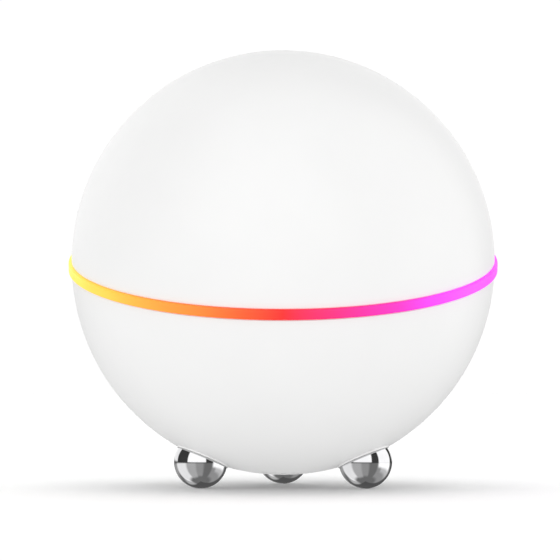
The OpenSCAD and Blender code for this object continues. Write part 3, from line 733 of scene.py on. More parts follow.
# %% Screw
def screw(radius, length, head_r, head_h, pitch=0.5, steps=24):
    """A screw that points down: the underside of its head is at the origin."""
    def thread(angle, z):
        tip = min(1.0, (z + length) / pitch, -z / pitch) if z < 0 else 0.0
        phase = (z / pitch - angle / (2 * math.pi)) % 1.0
        return -0.13 * radius * abs(2 * phase - 1) * max(0.0, tip)

    rows = int(length / pitch * 6)
    shank = [(0, -length)] + [(radius * 0.985, -length + length * k / rows) for k in range(rows + 1)]
    edge = 0.12 * head_h
    neck = head_h * 0.5
    head = [(head_r - edge, 0)] + arc((head_r - edge, edge), edge, -90, 0, 3) + [(head_r, neck), (0, neck)]
    crown = [circle(head_r - 0.005, steps=steps), circle(head_r * 0.45, steps=6)]
    return together(turned(shank + head, steps, thread),
                    plate(crown, neck - 0.02, head_h, 0.2 * head_h))


# %% [markdown]
# ## Upper shell
# The upper half is one moulding: a dome two millimetres thick, a thicker lip inside its rim, and four
# snap hooks that reach down through the light band and catch under the lower half. The dome and lip
# are one turned profile with a small radius at the rim, where the light from the band catches it.

# %% Upper shell
SHELL_R, SHELL_IN_R, RIM = 55.0, 52.8, RING_HALF / MM
RIM_EDGE = 0.3
HALF_UP = HALF_SHIFT / MM


def dome_profile():
    rise = math.degrees(math.asin((RIM + RIM_EDGE - HALF_UP) / SHELL_R))
    lip_top = math.degrees(math.asin((3.2 - HALF_UP) / SHELL_IN_R))
    lip_r = SHELL_IN_R - 1.4
    profile = arc((0, HALF_UP), SHELL_R, 90, rise, 90)
    profile += arc((SHELL_R - 0.02 - RIM_EDGE, RIM + RIM_EDGE), RIM_EDGE, 0, -90, 5)
    profile += arc((lip_r + 0.2, RIM + 0.2), 0.2, -90, -180, 3) + arc((lip_r + 0.2, 3.0), 0.2, 180, 90, 3)
    return profile + arc((0, HALF_UP), SHELL_IN_R, lip_top, 90, 60)


def snap_hook():
    """A hook's side view, drawn from its foot up, and turned to stand at the rim."""
    side = [(50.0, 2.6), (50.0, -5.6), (50.4, -6.0), (51.3, -6.0), (52.15, -5.1), (52.15, -4.6),
            (51.6, -4.6), (51.6, 2.6)]
    hook = plate([side], -3.0, 3.0, 0.15)
    hook.transform(UPRIGHT)
    return hook


HOOK_TURNS = (45, 135, 225, 315)
make("upper_dome", "shell_white", together(turned(dome_profile(), 256),
                                           (snap_hook(), [around(a) for a in HOOK_TURNS])),
     TILTED, ["upper_shell"], sharp=40)
print("the dome's wall is", round(SHELL_R - SHELL_IN_R, 2), "mm thick")

# %% [markdown]
# ## Light band
# The band is a turned ring of milky plastic, two and a half millimetres high, that stands most of a
# millimetre out of the ball. Its two outer corners are rounded, and notches inside let the hooks pass.

# %% Light band
band_in_r, notch_r, band_out_r, notch_half = 49.6, 51.9, 55.78, 3.3


def band_outline():
    """The band seen from above: round outside, with four notches inside."""
    inside = []
    for turn in HOOK_TURNS:
        reach = math.degrees(math.asin(notch_half / band_in_r))
        inside += arc((0, 0), band_in_r, turn - 90 + reach, turn - reach, 48)
        spot = around(turn)
        inside += [tuple((spot @ Vector((notch_r, y, 0)))[:2]) for y in (-notch_half, 0, notch_half)]
    return [circle(band_out_r, steps=360), inside]


make("light_band", "light_ring", plate(band_outline(), -RIM, RIM, 0.32), TILTED, ["light_guide"])
print("the band is", round(2 * RIM, 2), "mm high")

# %% [markdown]
# ## Feet
# Each foot is a bearing ball held in a cup. The cup's lip stands half a millimetre out of the shell
# and slopes down to the ball, which shows as a thin pale band around it. A screw comes down through
# the cup into a tapped hole in the ball.

# %% Feet
REACH, BALL, LIP_R = foot_reach / MM, BALL_R / MM, 7.15
LIP_TOP = math.sqrt(SHELL_R ** 2 - LIP_R ** 2) + 0.55
CUP_FOOT = REACH - BALL - 1.45


def ball_profile():
    hole = 1.52
    mouth = math.degrees(math.acos(hole / BALL))
    bottom = REACH - BALL + 5.5
    return arc((0, REACH), BALL, 90, -mouth, 96) + [(hole, bottom), (0, bottom)]


def cup_profile():
    cup_r, hole, flange_r, flange_top, flange_low = BALL + 0.05, 1.6, 8.8, 51.9, 50.7
    lip_start = math.degrees(math.asin((LIP_TOP - 0.12 - REACH) / cup_r))
    profile = [(hole, CUP_FOOT), (LIP_R - 0.3, CUP_FOOT), (LIP_R, CUP_FOOT + 0.3), (LIP_R, flange_low)]
    profile += [(flange_r - 0.2, flange_low), (flange_r, flange_low + 0.2), (flange_r, flange_top - 0.2),
                (flange_r - 0.2, flange_top), (LIP_R, flange_top)]
    profile += arc((LIP_R - 0.08, LIP_TOP - 0.30), 0.08, 0, 60, 4)
    profile += arc((LIP_R - 0.20, LIP_TOP - 0.07), 0.07, 60, 160, 6)
    return profile + arc((0, REACH), cup_r, lip_start, -math.degrees(math.acos(hole / cup_r)), 32)


for side, turn in FOOT_TURNS.items():
    out = LEVEL @ foot_aim(turn)
    make("steel_ball_" + side, "ball_chrome", turned(ball_profile(), 160), out, ["foot_ball_" + side])
    make("ball_cup_" + side, "socket_white", turned(cup_profile(), 160), out, ["foot_socket_" + side])
print("a lip stands", round(LIP_TOP - math.sqrt(SHELL_R ** 2 - LIP_R ** 2), 2), "mm out of the shell")

# %% [markdown]
# ## Rear panel
# The ports sit in a slot-shaped panel that is let into the back. It is drawn as sheet parts in a
# place of its own, whose Z axis points out of the back: a face with a rounded edge, the flange that
# the shell clamps, and the shelf that carries the port board.

# %% Rear panel
PORTS_DROP = 10    # below the sphere's centre
REAR = LEVEL @ shift(0, 0, -PORTS_DROP * MM) @ FACING_BACK
POWER_AT, BUTTON_AT, JACK_AT = 8.0, -0.5, -10.0
POWER, BUTTON, JACK = (REAR @ shift(x * MM, 0) for x in (POWER_AT, BUTTON_AT, JACK_AT))
FACE, PANEL_BACK, FLANGE, SOCKET_FACE = 50.4, 46.7, 47.9, 50.3
SHELF_TOP, SHELF_LOW, SHELF_IN, SHELF_OUT = -2.63, -4.63, 32.0, 43.8
SHELF_SCREWS_X, SHELF_SCREWS_Y = (-11.2, 3.6), 34.4
openings = [slot(9.1, 3.42, (POWER_AT, 0)), circle(1.6, (BUTTON_AT, 0)), circle(3.0, (JACK_AT, 0))]


def shelf_end():
    """The shelf seen from behind, with the groove that the audio socket's barrel lies in."""
    dip = math.degrees(math.acos(-SHELF_TOP / 3.0))
    groove = arc((JACK_AT, 0), 3.0, -90 - dip, -90 + dip, 10)
    return [(-13, SHELF_LOW), (13, SHELF_LOW), (13, SHELF_TOP)] + groove[::-1] + [(-13, SHELF_TOP)]


def shelf():
    """The shelf seen from above, with its two screw holes."""
    outline = rectangle(26, SHELF_OUT - SHELF_IN, (0, (SHELF_IN + SHELF_OUT) / 2))
    holes = [circle(1.02, (x, SHELF_SCREWS_Y), 24) for x in SHELF_SCREWS_X]
    board_rest = plate([outline, *holes], SHELF_LOW, SHELF_TOP, 0.12)
    board_rest.transform(FACING_BACK)
    return board_rest


make("rear_panel", "panel_white",
     together(plate([slot(29.8, 10.8), *openings], PANEL_BACK + 0.5, FACE, 0.35),
              plate([slot(33, 14), *openings], PANEL_BACK, FLANGE, 0.2),
              plate([shelf_end()], 43.7, PANEL_BACK + 0.1, 0.05), shelf()),
     REAR, ["port_panel"])
print("the rear panel has", len(openings), "openings")

# %% [markdown]
# ## Power inlet
# The inlet is a folded steel shell with a rounded mouth. Inside it a plastic tongue carries gold
# contacts on both sides, a quarter of a millimetre wide, which are small pieces of their own so that
# they catch the light separately.

# %% Power inlet
make("inlet_shell", "bright_metal",
     together(plate([slot(8.94, 3.26), slot(8.34, 2.66)], 43.0, SOCKET_FACE, 0.13),
              plate([slot(8.7, 3.0)], 43.05, 43.65, 0.1)),
     POWER, ["power_socket"])
tongue = block((6.6, 0.7, 5.9), (0, 0, SOCKET_FACE - 6.7), 0.15)
make("inlet_tongue", "black_plastic", tongue, POWER, ["power_socket_tongue"])
strip = block((0.26, 0.06, 4.2), (0, 0, SOCKET_FACE - 5.4), 0.015)
CONTACTS = 12
strips = [shift((k - (CONTACTS - 1) / 2) * 0.5, side * 0.36) for k in range(CONTACTS) for side in (-1, 1)]
make("inlet_contacts", "gold_contact", together((strip, strips)), POWER)
print("the tongue has", len(strips), "contacts")

# %% [markdown]
# ## Audio socket
# The audio socket is a plastic barrel with a plated collar round its bore and three springs inside
# that touch the plug.

# %% Audio socket
JACK_R, JACK_DEPTH = 1.8, 14
JACK_END = SOCKET_FACE - JACK_DEPTH
barrel = [(JACK_R, 44.7), (2.9, 44.7), (2.9, SOCKET_FACE - 0.2), (2.7, SOCKET_FACE)]
barrel += arc((JACK_R + 0.25, SOCKET_FACE - 0.25), 0.25, 90, 180, 4)
make("jack_body", "black_plastic",
     together(turned(barrel, 96),
              plate([rectangle(6.4, 5.0), circle(JACK_R)], JACK_END, 46.3, 0.15),
              plate([rectangle(6.4, 5.0)], 35.3, JACK_END + 0.05, 0.15)),
     JACK, ["audio_jack"])
make("jack_collar", "bright_metal", washer(JACK_R + 0.06, 2.62, 49.6, SOCKET_FACE + 0.05, 0.1), JACK)
make("jack_springs", "gold_contact",
     together((block((0.25, 1.1, 2.6), (JACK_R - 0.05, 0, 41.0), 0.1), [around(a) for a in (0, 120, 240)])),
     JACK)
print("the audio socket is", JACK_DEPTH, "mm deep")

# %% [markdown]
# ### Reset button
# The button is a stepped pin: its collar stops it behind the panel, and its top has a shallow dish.

# %% Reset button
CAP_TOP, DISH_R, DISH = 50.7, 0.96, 0.18
button = [(0, 43.2), (1.4, 43.2), (1.5, 43.3), (1.5, 45.6), (2.3, 45.6), (2.4, 45.7), (2.4, 46.4),
          (2.3, 46.5), (1.5, 46.5)] + arc((1.25, CAP_TOP - 0.25), 0.25, 0, 90, 4)
button += [(DISH_R * (1 - k / 8), CAP_TOP - DISH * math.sin(math.pi / 2 * k / 8)) for k in range(9)]
make("button_cap", "button_grey", turned(button, 64), BUTTON, ["reset_button"], "reset_key")
plunger = [(0, 40.0)] + arc((0.65, 40.25), 0.25, -90, 0, 3) + [(0.9, 43.2), (0, 43.2)]
make("button_plunger", "black_plastic", turned(plunger, 48), BUTTON, ["reset_plunger"], "reset_key")
make("switch_can", "bright_metal",
     together(plate([rectangle(6, 3.4, (0, 0.07)), circle(0.95)], 39.2, 41.8, 0.12),
              plate([rectangle(6, 3.4, (0, 0.07))], 38.4, 39.25, 0.12)),
     BUTTON, ["reset_switch"])
print("the button stands", round(CAP_TOP - FACE, 2), "mm out of the panel")

# %% [markdown]
# ## Fasteners
# One screw is drawn for each size and repeated where the frame puts it.

# %% Fasteners
STANDOFFS, POSTS, TABS, LEGS = (45, 135, 225, 315), (30, 150, 210, 330), (-90, 30, 150), (0, 120, 240)
STANDOFF_R, CARRIER_R = 31, 31.5
BOARD_TOP, PORT_BOARD_TOP, LED_TOP = 4.6, -11.63, -1.7


def bolts(name, node, size, spots, place):
    """One screw, repeated. size is the screw's radius and length, and its head's radius and height."""
    make(name, "bright_metal", together((screw(*size), spots)), place, [node])


bolts("frame_bolts", "frame_screws", (1.2, 9, 2.2, 1.4), [around(a, 44, -4.4) for a in POSTS], TILTED)
bolts("board_bolts", "board_screws", (1.1, 6, 2.1, 1.4),
      [around(a, STANDOFF_R, BOARD_TOP) for a in STANDOFFS], TILTED)
bolts("carrier_bolts", "carrier_screws", (1.0, 4, 1.9, 1.2),
      [around(a, CARRIER_R, BOARD_TOP + 1.8) for a in LEGS], TILTED)
bolts("mount_bolts", "mount_screws", (1.0, 5.5, 2, 1.2), [around(a, 27, -1.4) for a in TABS], DRIVER)
bolts("driver_bolts", "driver_screws", (0.9, 5, 1.8, 1.2), [around(a, 21.5, 1.2) for a in TABS], DRIVER)
bolts("shelf_bolts", "port_board_screws", (1.0, 2.9, 1.7, 1),
      [shift(x, SHELF_SCREWS_Y, PORT_BOARD_TOP) for x in SHELF_SCREWS_X], LEVEL)
head_in = shift(0, 0, CUP_FOOT) @ Matrix.Rotation(math.pi, 4, "X")
bolts("ball_bolts", "foot_screws", (1.5, 6, 2.75, 1.9, 0.5, 36),
      [foot_aim(a) @ head_in for a in FOOT_TURNS.values()], LEVEL)
print("seven sets of fasteners")

# %% [markdown]
# ## Boards and chips
# The boards keep their CAD shape. What makes them look real is what sits on them: chips with legs or
# pads, and dozens of resistors and capacitors smaller than a grain of rice, each a dark or tan body
# between two tinned ends. They are strewn by a seeded random draw that keeps clear of the big parts.

# %% Chips
def chip(width, length, height):
    """A moulded chip with broken edges and a small moulded dimple that marks its first leg."""
    body = block((width, length, height), (0, 0, 0), 0.07)
    ring_mark = washer(0.22, 0.38, height - 0.05, height + 0.02, 0.02, 24)
    return together(body, (ring_mark, [shift(-width / 2 + 0.9, length / 2 - 0.9)]))


def on_board(x, y, above=0.0):
    """A place on the main board."""
    return TILTED @ shift(x * MM, y * MM, (BOARD_TOP + above) * MM)


def pads_round(width, length, pitch):
    """A tinned pad, and its places along the four sides of a chip."""
    pad = block((0.28, 0.5, 0.22), (0, 0, 0), 0.04)
    places = []
    for across, out, turn in ((width, length, 0), (length, width, 90)):
        count = int((across - 1.2) / pitch)
        for k in range(count):
            offset = (k - (count - 1) / 2) * pitch
            for side in (0, 180):
                places.append(shift(0, 0, 0, turn + side) @ shift(offset, out / 2))
    return pad, places


PROCESSOR_XY, AMPLIFIER = (0, 2), on_board(-17, -8)
MEMORY_SPOTS = [shift(17, y, BOARD_TOP) for y in (-4, 8)]
make("processor_body", "chip_black", chip(14, 14, 1.2), on_board(*PROCESSOR_XY), ["processor"])
make("memory_bodies", "chip_black", together((chip(8, 10, 1.0), MEMORY_SPOTS)), TILTED, ["memory_chips"])
make("amplifier_body", "chip_black", chip(6, 6, 1.0), AMPLIFIER, ["amplifier_chip"])
pad, amplifier_pads = pads_round(6, 6, 0.65)
make("amplifier_pads", "bright_metal", together((pad, amplifier_pads)), AMPLIFIER)
pad, chip_pads = pads_round(8, 10, 0.8)
memory_pads = [spot @ place for spot in MEMORY_SPOTS for place in chip_pads]
make("memory_pads", "bright_metal", together((pad, memory_pads)), TILTED)
print(len(memory_pads), "memory pads and", len(amplifier_pads), "amplifier pads")

# %% Small parts strewn on the main board
KEEP_CLEAR = [
    # (x, y, half width, half length) of what already stands on the board, with room to spare
    (0, 2, 12, 12), (17, 2, 5, 12), (0, -23, 11, 10), (-17, -8, 4.6, 4.6), (-18, 4, 5, 5),
    (3.5, 25, 13, 5), (-33, 0, 5, 6), (31.5, 0, 4, 4), (-15.75, 27.3, 4, 4), (-15.75, -27.3, 4, 4),
    (-8, -19, 3, 3), (8, -19, 3, 3),
]
SCREW_CLEAR, PART_CLEAR = 4, 1.9
draw = random.Random(7)


def free_places(count, reach):
    """Places on the board that keep clear of everything else and of each other."""
    screws = [(STANDOFF_R * math.cos(math.radians(a)), STANDOFF_R * math.sin(math.radians(a)))
              for a in STANDOFFS]
    found = []
    while len(found) < count:
        x, y = draw.uniform(-reach, reach), draw.uniform(-reach, reach)
        x, y = round(x * 2) / 2, round(y * 2) / 2
        clear = math.hypot(x, y) < reach
        clear = clear and all(abs(x - a) > w or abs(y - b) > h for a, b, w, h in KEEP_CLEAR)
        clear = clear and all(math.hypot(x - a, y - b) > SCREW_CLEAR for a, b in screws)
        if clear and all(abs(x - a) > PART_CLEAR or abs(y - b) > PART_CLEAR for a, b, _ in found):
            found.append((x, y, draw.choice((0, 90))))
    return found


spots = free_places(90, 33.5)
small_places = [shift(x, y, BOARD_TOP, turn) for x, y, turn in spots]
half = len(spots) // 2
make("resistor_bodies", "chip_black",
     together((block((0.9, 0.78, 0.4), (0, 0, 0.02), 0.04), small_places[:half])), TILTED)
make("capacitor_chips", "terminal_board",
     together((block((0.9, 0.74, 0.62), (0, 0, 0.02), 0.05), small_places[half:])), TILTED)
tinned = block((0.34, 0.82, 0.46), (0, 0, 0), 0.06)
make("tinned_ends", "bright_metal",
     together((tinned, [p @ shift(side * 0.6, 0) for p in small_places for side in (-1, 1)])), TILTED)
print(len(spots), "small parts on the main board")

# %% [markdown]
# ### Power parts
# The heat sink is a comb cut from drawn bar. Each capacitor is a turned can with a groove rolled into
# it, a square foot with two cut corners, and a dark mark on top.

# %% Heat sink, inductor and capacitors
FINS = 7


def sink_outline(width=22, base=2, height=9, fin=1.2):
    """The heat sink's end view, a comb."""
    pitch = (width - fin) / (FINS - 1)
    points = [(-width / 2, 0), (width / 2, 0)]
    for k in reversed(range(FINS)):
        left = -width / 2 + k * pitch
        points += [(left + fin, base), (left + fin, height), (left, height), (left, base)]
    return [p for i, p in enumerate(points) if p != points[i - 1]]


comb = plate([sink_outline()], -11, 11, 0.14)
comb.transform(UPRIGHT)
make("finned_sink", "heat_sink_metal", comb, on_board(*PROCESSOR_XY, 1.7), ["heat_sink"])
make("silicone_pad", "pad_blue", block((14, 14, 0.5), (0, 2, BOARD_TOP + 1.2), 0.12), TILTED, ["thermal_pad"])
make("inductor_block", "magnet_ferrite",
     together(plate([rectangle(7, 7, corner=0.9), circle(2.4)], 3.0, 4.0, 0.15),
              plate([rectangle(7, 7, corner=0.9)], 0, 3.4, 0.15)),
     on_board(-18, 4), ["power_inductor"])


def can_profile(r=3.15, top=7.0, foot=0.9):
    """An aluminium can: rolled edge on top, and the groove that holds its rubber plug."""
    profile = [(0, foot), (r - 0.2, foot), (r, foot + 0.2), (r, foot + 0.5)]
    profile += arc((r + 0.1, foot + 0.95), 0.38, 250, 110, 6)
    profile += [(r, foot + 1.4)] + arc((r - 0.45, top - 0.45), 0.45, 0, 90, 5)
    return profile + [(r - 0.75, top), (r - 0.85, top - 0.12), (0, top - 0.12)]


cans = [shift(x, 25, BOARD_TOP) for x in (-5, 3.5, 12)]
make("capacitor_cans", "bright_metal", together((turned(can_profile(), 64), cans)), TILTED,
     ["power_capacitors"])
foot = plate([[(-3.3, -3.3), (3.3, -3.3), (3.3, 2.2), (2.2, 3.3), (-2.2, 3.3), (-3.3, 2.2)]], 0, 1.0, 0.12)
make("capacitor_feet", "black_plastic", together((foot, cans)), TILTED)
mark = plate([arc((0, 0), 2.2, 200, 250, 8) + [(0, -0.8)]], 6.86, 6.93, 0.02)
make("capacitor_marks", "chip_black", together((mark, cans)), TILTED)
print(len(cans), "capacitors, and", FINS, "fins on the heat sink")

# %% [markdown]
# ### Radio and connectors
# The radio hides under a pressed tin lid. The connectors are nylon blocks whose pins sit in small
# slots. Two of them hang under the board, where their cables come up.

# %% Radio module
def radio_shell():
    """A pressed lid with a grid of vent holes, on four walls."""
    vents = [circle(0.35, (x, y), 16) for x in (-3, 0, 3) for y in (-3.5, 0, 3.5)]
    outside, inside = rectangle(12, 13, corner=0.6), rectangle(11.4, 12.4, corner=0.4)
    return together(plate([outside, *vents], 1.85, 2.2, 0.1), plate([outside, inside], 0, 1.9, 0.05))


RADIO = on_board(0, -23, 0.8)
make("radio_can", "bright_metal", radio_shell(), RADIO, ["radio_shield"])
edge_pad = block((0.7, 0.5, 0.84), (0, 0, -0.82), 0.06)
edge_spots = [shift(side * 8.8, (k - 5) * 1.27) for k in range(11) for side in (-1, 1)]
make("radio_pads", "gold_contact", together((edge_pad, edge_spots)), RADIO)
plug = [(0, 0), (1.1, 0), (1.1, 0.7), (0.98, 0.78), (0.98, 1.1), (0.86, 1.2), (0.35, 1.2), (0.3, 1.15),
        (0, 1.15)]
make("antenna_plugs", "gold_contact",
     together((turned(plug, 32), [shift(side * 7.6, 4) for side in (-1, 1)])), RADIO)
print("the radio module has", len(edge_spots), "edge pads")

# %% Connectors
def header(width, length, height, pins, hangs=False):
    """A nylon connector with a row of pin slots in its open face, standing or hanging."""
    pitch = length * 0.8 / pins
    wells = [rectangle(pitch * 0.5, width * 0.3, ((k - (pins - 1) / 2) * pitch, 0), 0.05)
             for k in range(pins)]
    body = together(plate([rectangle(length, width, corner=0.25), *wells], height * 0.3, height, 0.08),
                    plate([rectangle(length, width, corner=0.25)], 0, height * 0.35, 0.08))
    if hangs:
        body.transform(Matrix.Translation((0, 0, height)) @ Matrix.Scale(-1, 4, (0, 0, 1)))
    return body


make("connector_housings", "connector_ivory",
     together((header(5, 7, 4, 2, hangs=True), [shift(11, 0, -1, 90)]),
              (header(4, 9, 4, 6, hangs=True), [shift(-4, 14, -1)]),
              (header(3, 8, 1.4, 8), [shift(-33.5, 0, BOARD_TOP, 90)]),
              (header(2, 8, 0.8, 8), [shift(-41.8, 0, LED_TOP, 90)])),
     TILTED, ["board_connectors"])
make("ribbon_socket", "connector_ivory", header(2.4, 9, 1.0, 8),
     LEVEL @ shift(-4.5 * MM, 33.6 * MM, PORT_BOARD_TOP * MM))
leg = block((0.3, 0.9, 0.2), (0, 0, 0), 0.05)
leg_spots = [shift(x, (k - 3.5) * 0.9, z, 90) for x, z in ((-35.2, BOARD_TOP), (-43, LED_TOP))
             for k in range(8)]
make("connector_legs", "bright_metal", together((leg, leg_spots)), TILTED)
print("five connectors")

# %% [markdown]
# ## Lamps and microphones
# A side-lit lamp is a white plastic box with a window that faces the band. The windows carry the
# band's own glow, so each one lights up in the colour of its place. The microphones are tin cans with
# a pinhole.

# %% Lamps and microphones
LAMP_R = 48.45
lamp_spots = [around((k + 0.5) * 360 / LAMPS) for k in range(LAMPS)]
microphone_spots = [around(a, 42.2, LED_TOP) for a in (20, 110, 200, 290)]
make("lamp_bodies", "lamp_white", together((block((1.7, 3.4, 1.6), (LAMP_R, 0, LED_TOP), 0.1), lamp_spots)),
     TILTED, ["ring_leds"])
make("lamp_windows", "light_ring",
     together((block((0.12, 2.5, 1.0), (49.32, 0, LED_TOP + 0.3), 0.04), lamp_spots)), TILTED)
make("lamp_pads", "gold_contact",
     together(*[(block((1.2, 0.5, 0.3), (LAMP_R, side * 1.8, LED_TOP), 0.04), lamp_spots)
                for side in (-1, 1)]), TILTED)
tin = together(plate([rectangle(2.4, 3.0), circle(0.3, (0.4, 0.5), 24)], 0.5, 1.0, 0.1),
               plate([rectangle(2.4, 3.0)], 0, 0.6, 0.1))
make("microphone_tins", "bright_metal", together((tin, microphone_spots)), TILTED, ["microphones"])
print(len(lamp_spots), "lamps and", len(microphone_spots), "microphones")

# %% [markdown]
# ## Wires and ribbons
# Each wire follows the same route as in the frame: a smooth curve through a few chosen points. A
# round bevel gives it its thickness. The flat ribbons are the same curve seen from the side, thickened
# and pulled out to their width.

# %% Wires
def smooth(points, steps=10):
    """A smooth curve through the points, with so many pieces to each stretch."""
    path = []
    for i in range(len(points) - 1):
        a, b = Vector(points[max(i - 1, 0)]), Vector(points[i])
        c, d = Vector(points[i + 1]), Vector(points[min(i + 2, len(points) - 1)])
        for k in range(steps):
            t = k / steps
            path.append(0.5 * (2 * b + (c - a) * t + (2 * a - 5 * b + 4 * c - d) * t * t
                               + (3 * b - a - 3 * c + d) * t ** 3))
    return path + [Vector(points[-1])]


def round_wire(path, radius):
    """A round wire in millimetres, closed at both ends."""
    line = bpy.data.curves.new("wire", "CURVE")
    line.dimensions = "3D"
    line.bevel_depth = radius
    line.bevel_resolution = 5
    line.use_fill_caps = True
    run = line.splines.new("POLY")
    run.points.add(len(path) - 1)
    for point, place in zip(run.points, path):
        point.co = (*place, 1)
    return shape_of(line)


def tilted_point(x, y, z):
    return tuple(Matrix.Rotation(RING_TILT, 3, "X") @ Vector((x, y, z)))


def antenna_route(side):
    return smooth([(side * 7.6, -19, 6.62), (side * 8.5, -19, 10), (side * 18, -18, 16),
                   (side * 26, -12.5, 18.5), (side * 26.7, -9, 20.5), (side * 26.5, -8, 22.98)])


def speaker_route(side):
    return smooth([(20.3, side * 2.5, -32.68), (20.8, side * 2.3, -27), (19.5, side * 1.8, -19),
                   (14.5, side * 1.3 + 0.3, -9), tilted_point(11, side * 1.2, -4),
                   tilted_point(11, side * 1.2, -1.05)])


make("antenna_wires", "cable_black", together(*[round_wire(antenna_route(s), 0.55) for s in (-1, 1)]),
     TILTED, ["antenna_cables"])
make("speaker_wires", "cable_red", together(*[round_wire(speaker_route(s), 0.6) for s in (-1, 1)]),
     LEVEL, ["speaker_cable"])
print("four wires")

# %% Ribbons
def ribbon_side(path, thickness):
    """A flat ribbon's side view: its path, thickened both ways."""
    upper, lower = [], []
    for i, here in enumerate(path):
        along = (path[min(i + 1, len(path) - 1)] - path[max(i - 1, 0)]).normalized()
        across_it = Vector((-along.y, along.x)) * thickness / 2
        upper.append(tuple(here + across_it))
        lower.append(tuple(here - across_it))
    return upper + lower[::-1]


RIBBON_THICK = 0.3
under_plug, in_plug = tilted_point(0, 14, -3.6), tilted_point(0, 14, -1.02)
port_path = smooth([(34.4, -10.45), (30, -10.3), (24, -8.5), (18.5, -4.5), under_plug[1:], in_plug[1:]])
port_ribbon = plate([ribbon_side(port_path, RIBBON_THICK)], -8, -1, 0.05)
port_ribbon.transform(SIDEWAYS)
make("port_flat_cable", "ribbon_amber", port_ribbon, LEVEL, ["port_ribbon"])
lamp_path = smooth([(-41.8, -0.88), (-41.4, 1.5), (-39.5, 5), (-36.8, 6.5), (-33.5, 6.25)])
lamp_ribbon = plate([ribbon_side(lamp_path, RIBBON_THICK)], -3, 3, 0.05)
lamp_ribbon.transform(UPRIGHT)
make("lamp_flat_cable", "ribbon_amber", lamp_ribbon, TILTED, ["led_ribbon"], surface=led_ribbon_amber)
print("two ribbons")

# %% [markdown]
# ## Loudspeaker
# The loudspeaker is turned work throughout. The magnet has chamfered edges, the coil shows each turn
# of its wire, and the cone has shallow pressed rings that stiffen it.

# %% Magnet, coil and cone
make("magnet_ring", "magnet_ferrite", washer(7.2, 13.5, 12.2, 18.2, 0.5), DRIVER, ["driver_magnet"])
make("front_plate", "bright_metal", washer(5.75, 11.5, 10.2, 12.2, 0.2), DRIVER, ["driver_front_plate"])
yoke = [(0, 10.2)] + arc((4.4, 10.5), 0.3, -90, 0, 3) + [(4.7, 18.2)]
yoke += arc((12.3, 18.5), 0.3, -90, 0, 3) + arc((11.6, 19.4), 1.0, 0, 90, 5)
yoke += [(3.0, 20.4), (2.2, 20.0), (0, 20.0)]
make("yoke_and_pole", "bright_metal", turned(yoke, 96), DRIVER, ["driver_yoke"])

TURNS_OF_WIRE, WOUND = 24, 4.8
coil = [(4.98, 4.3), (5.12, 4.3), (5.12, 8.7)]
for k in range(TURNS_OF_WIRE):
    coil += arc((5.30, 8.8 + (k + 0.5) * WOUND / TURNS_OF_WIRE), 0.1, -80, 80, 4)
coil += [(5.12, 13.7), (4.98, 13.7)]
make("wound_coil", "coil_copper", turned(coil, 96), DRIVER, ["voice_coil"], "cone_assembly")


def cone_profile(inner=5.14, outer=14.6, steps=72):
    """The cone's wall, with pressed rings that fade out at both edges."""
    def middle(t):
        fade = math.sin(math.pi * t)
        return 5.45 + (0.3 - 5.45) * t + 0.07 * fade * math.sin(14 * math.pi * t)

    line = [(inner + (outer - inner) * k / steps, middle(k / steps)) for k in range(steps + 1)]
    return [(r, z - 0.17) for r, z in line] + [(r, z + 0.17) for r, z in reversed(line)]


make("pressed_cone", "cone_paper", turned(cone_profile(), 128), DRIVER, ["cone"], "cone_assembly")
CAP_R, CAP_H = 6.5, 2.0
CAP_BALL = (CAP_R ** 2 + CAP_H ** 2) / (2 * CAP_H)
cap_middle = 4.35 - CAP_H + CAP_BALL
rim_at = -math.degrees(math.acos(CAP_R / CAP_BALL))
cap = arc((0, cap_middle), CAP_BALL, -90, rim_at, 24) + arc((0, cap_middle), CAP_BALL - 0.3, rim_at, -90, 24)
make("domed_cap", "cone_paper", turned(cap, 96), DRIVER, ["dust_cap"], "cone_assembly")
print("the coil has", TURNS_OF_WIRE, "turns showing")

# %% [markdown]
# ### Surround and spider
# The surround is a half roll of rubber, and the spider a cloth disc pressed into waves. Both are put in
# place once and joined to no body, so neither of them moves with the cone.

# %% Surround and spider
def soft_ring(name, slot_name, profile, node):
    """A soft ring that stands in for a CAD node, put in place once and joined to no body."""
    piece = to_object(name, turned(profile, 128), DRIVER)
    piece.data.materials.append(SURFACES[slot_name])
    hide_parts(node)
    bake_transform(piece)
    made_pieces.append(piece)


ROLL_AT = (16.05, 0)
roll = [(14.6, -0.35), (14.7, 0.0), (14.9, 0.0)] + arc(ROLL_AT, 1.15, 180, 360, 20)
roll += [(17.3, -0.02), (19.1, -0.02), (19.2, -0.1), (19.2, -0.32), (19.1, -0.4), (17.5, -0.4)]
roll += arc(ROLL_AT, 1.5, -15, -172, 24)
soft_ring("rubber_surround", "soft_black", roll, "surround")


def spider_profile(inner=5.15, outer=13.0, waves_count=4, steps=80):
    """A thin cloth disc pressed into waves that fade out at both edges."""
    line = []
    for k in range(steps + 1):
        t = k / steps
        wave = math.sin(math.pi * t) * (1 - math.cos(2 * math.pi * waves_count * t)) / 2
        line.append((inner + (outer - inner) * t, 6.75 - 0.35 * wave))
    return [(r, z - 0.12) for r, z in line] + [(r, z + 0.12) for r, z in reversed(line)]


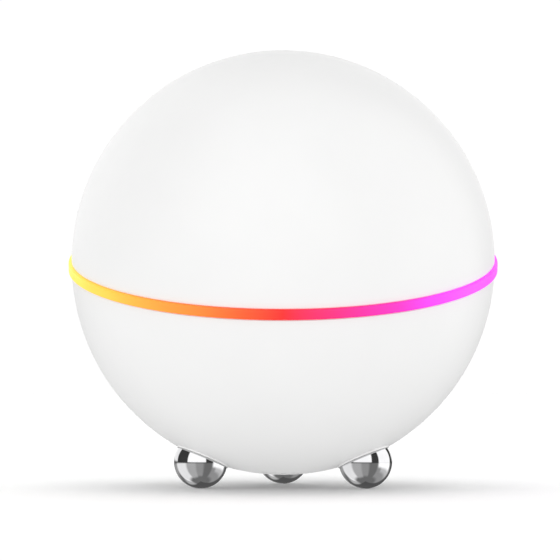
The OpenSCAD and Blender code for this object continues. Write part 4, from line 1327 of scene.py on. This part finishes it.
soft_ring("woven_spider", "spider_cloth", spider_profile(), "spider")

# %% Gasket and terminals
make("foam_gasket", "soft_black", washer(17.7, 19.2, -1.4, -0.4, 0.25), DRIVER, ["driver_gasket"])
LUGS_Y = (-2.5, 2.5)
tag_holes = [circle(0.45, (y, 5.3), 16) for y in LUGS_Y]
tag_board = plate([rectangle(8, 5, (0, 3.7), 0.4), *tag_holes], 18.6, 19.4, 0.08)
tag_board.transform(SIDEWAYS)
make("tag_board", "terminal_board", tag_board, DRIVER, ["driver_terminals"])
lug = plate([rectangle(2.3, 1.4, (20.0, 0), 0.35), circle(0.35, (20.5, 0), 16)], 2.9, 3.3, 0.06)
make("solder_lugs", "bright_metal", together((lug, [shift(0, y) for y in LUGS_Y])), DRIVER)
print("the terminals have", len(LUGS_Y), "lugs")

# %% [markdown]
# ## Parts that keep their CAD shape
# The lower shell with its grille, the frames, the boards and the loudspeaker's basket already have
# their true shape. Each gets the surface of the slot it belongs to.

# %% Surfaces for the carried-over parts
node_slots = {part["node"]: part["material_slot"] for part in frame["record"]["subparts"]}
for name, node in NODES.items():
    for number in range(len(node.material_slots)):
        node.material_slots[number].material = SURFACES[node_slots[name]]
kept = [name for name, node in NODES.items() if not node.hide_render]
print(len(made_pieces), "pieces made;", len(kept), "parts keep their CAD shape:", ", ".join(kept))

# %% [markdown]
# ## Floor
# The object stands on a plain white table top that runs out of sight in every direction. The camera
# sees it, with the object's soft shadow on it. Its bounced light and its mirror image come from the
# dome's lower half instead, so the disc itself is left out of them.

# %% Floor
FLOOR_R = 3000
floor_shape = bmesh.new()
bmesh.ops.create_circle(floor_shape, cap_ends=True, radius=FLOOR_R, segments=96)
floor = to_object("floor", floor_shape)
table_white = moulded("table_white", (0.99, 0.99, 0.99), rough=0.6, grain_mm=0.4, grain_depth=0.004,
                      drift=0.004, Specular_IOR_Level=0.0)
floor.data.materials.append(table_white)
floor.visible_diffuse = floor.visible_glossy = floor.visible_shadow = False
print("the floor is a disc", 2 * FLOOR_R * MM, "m across")
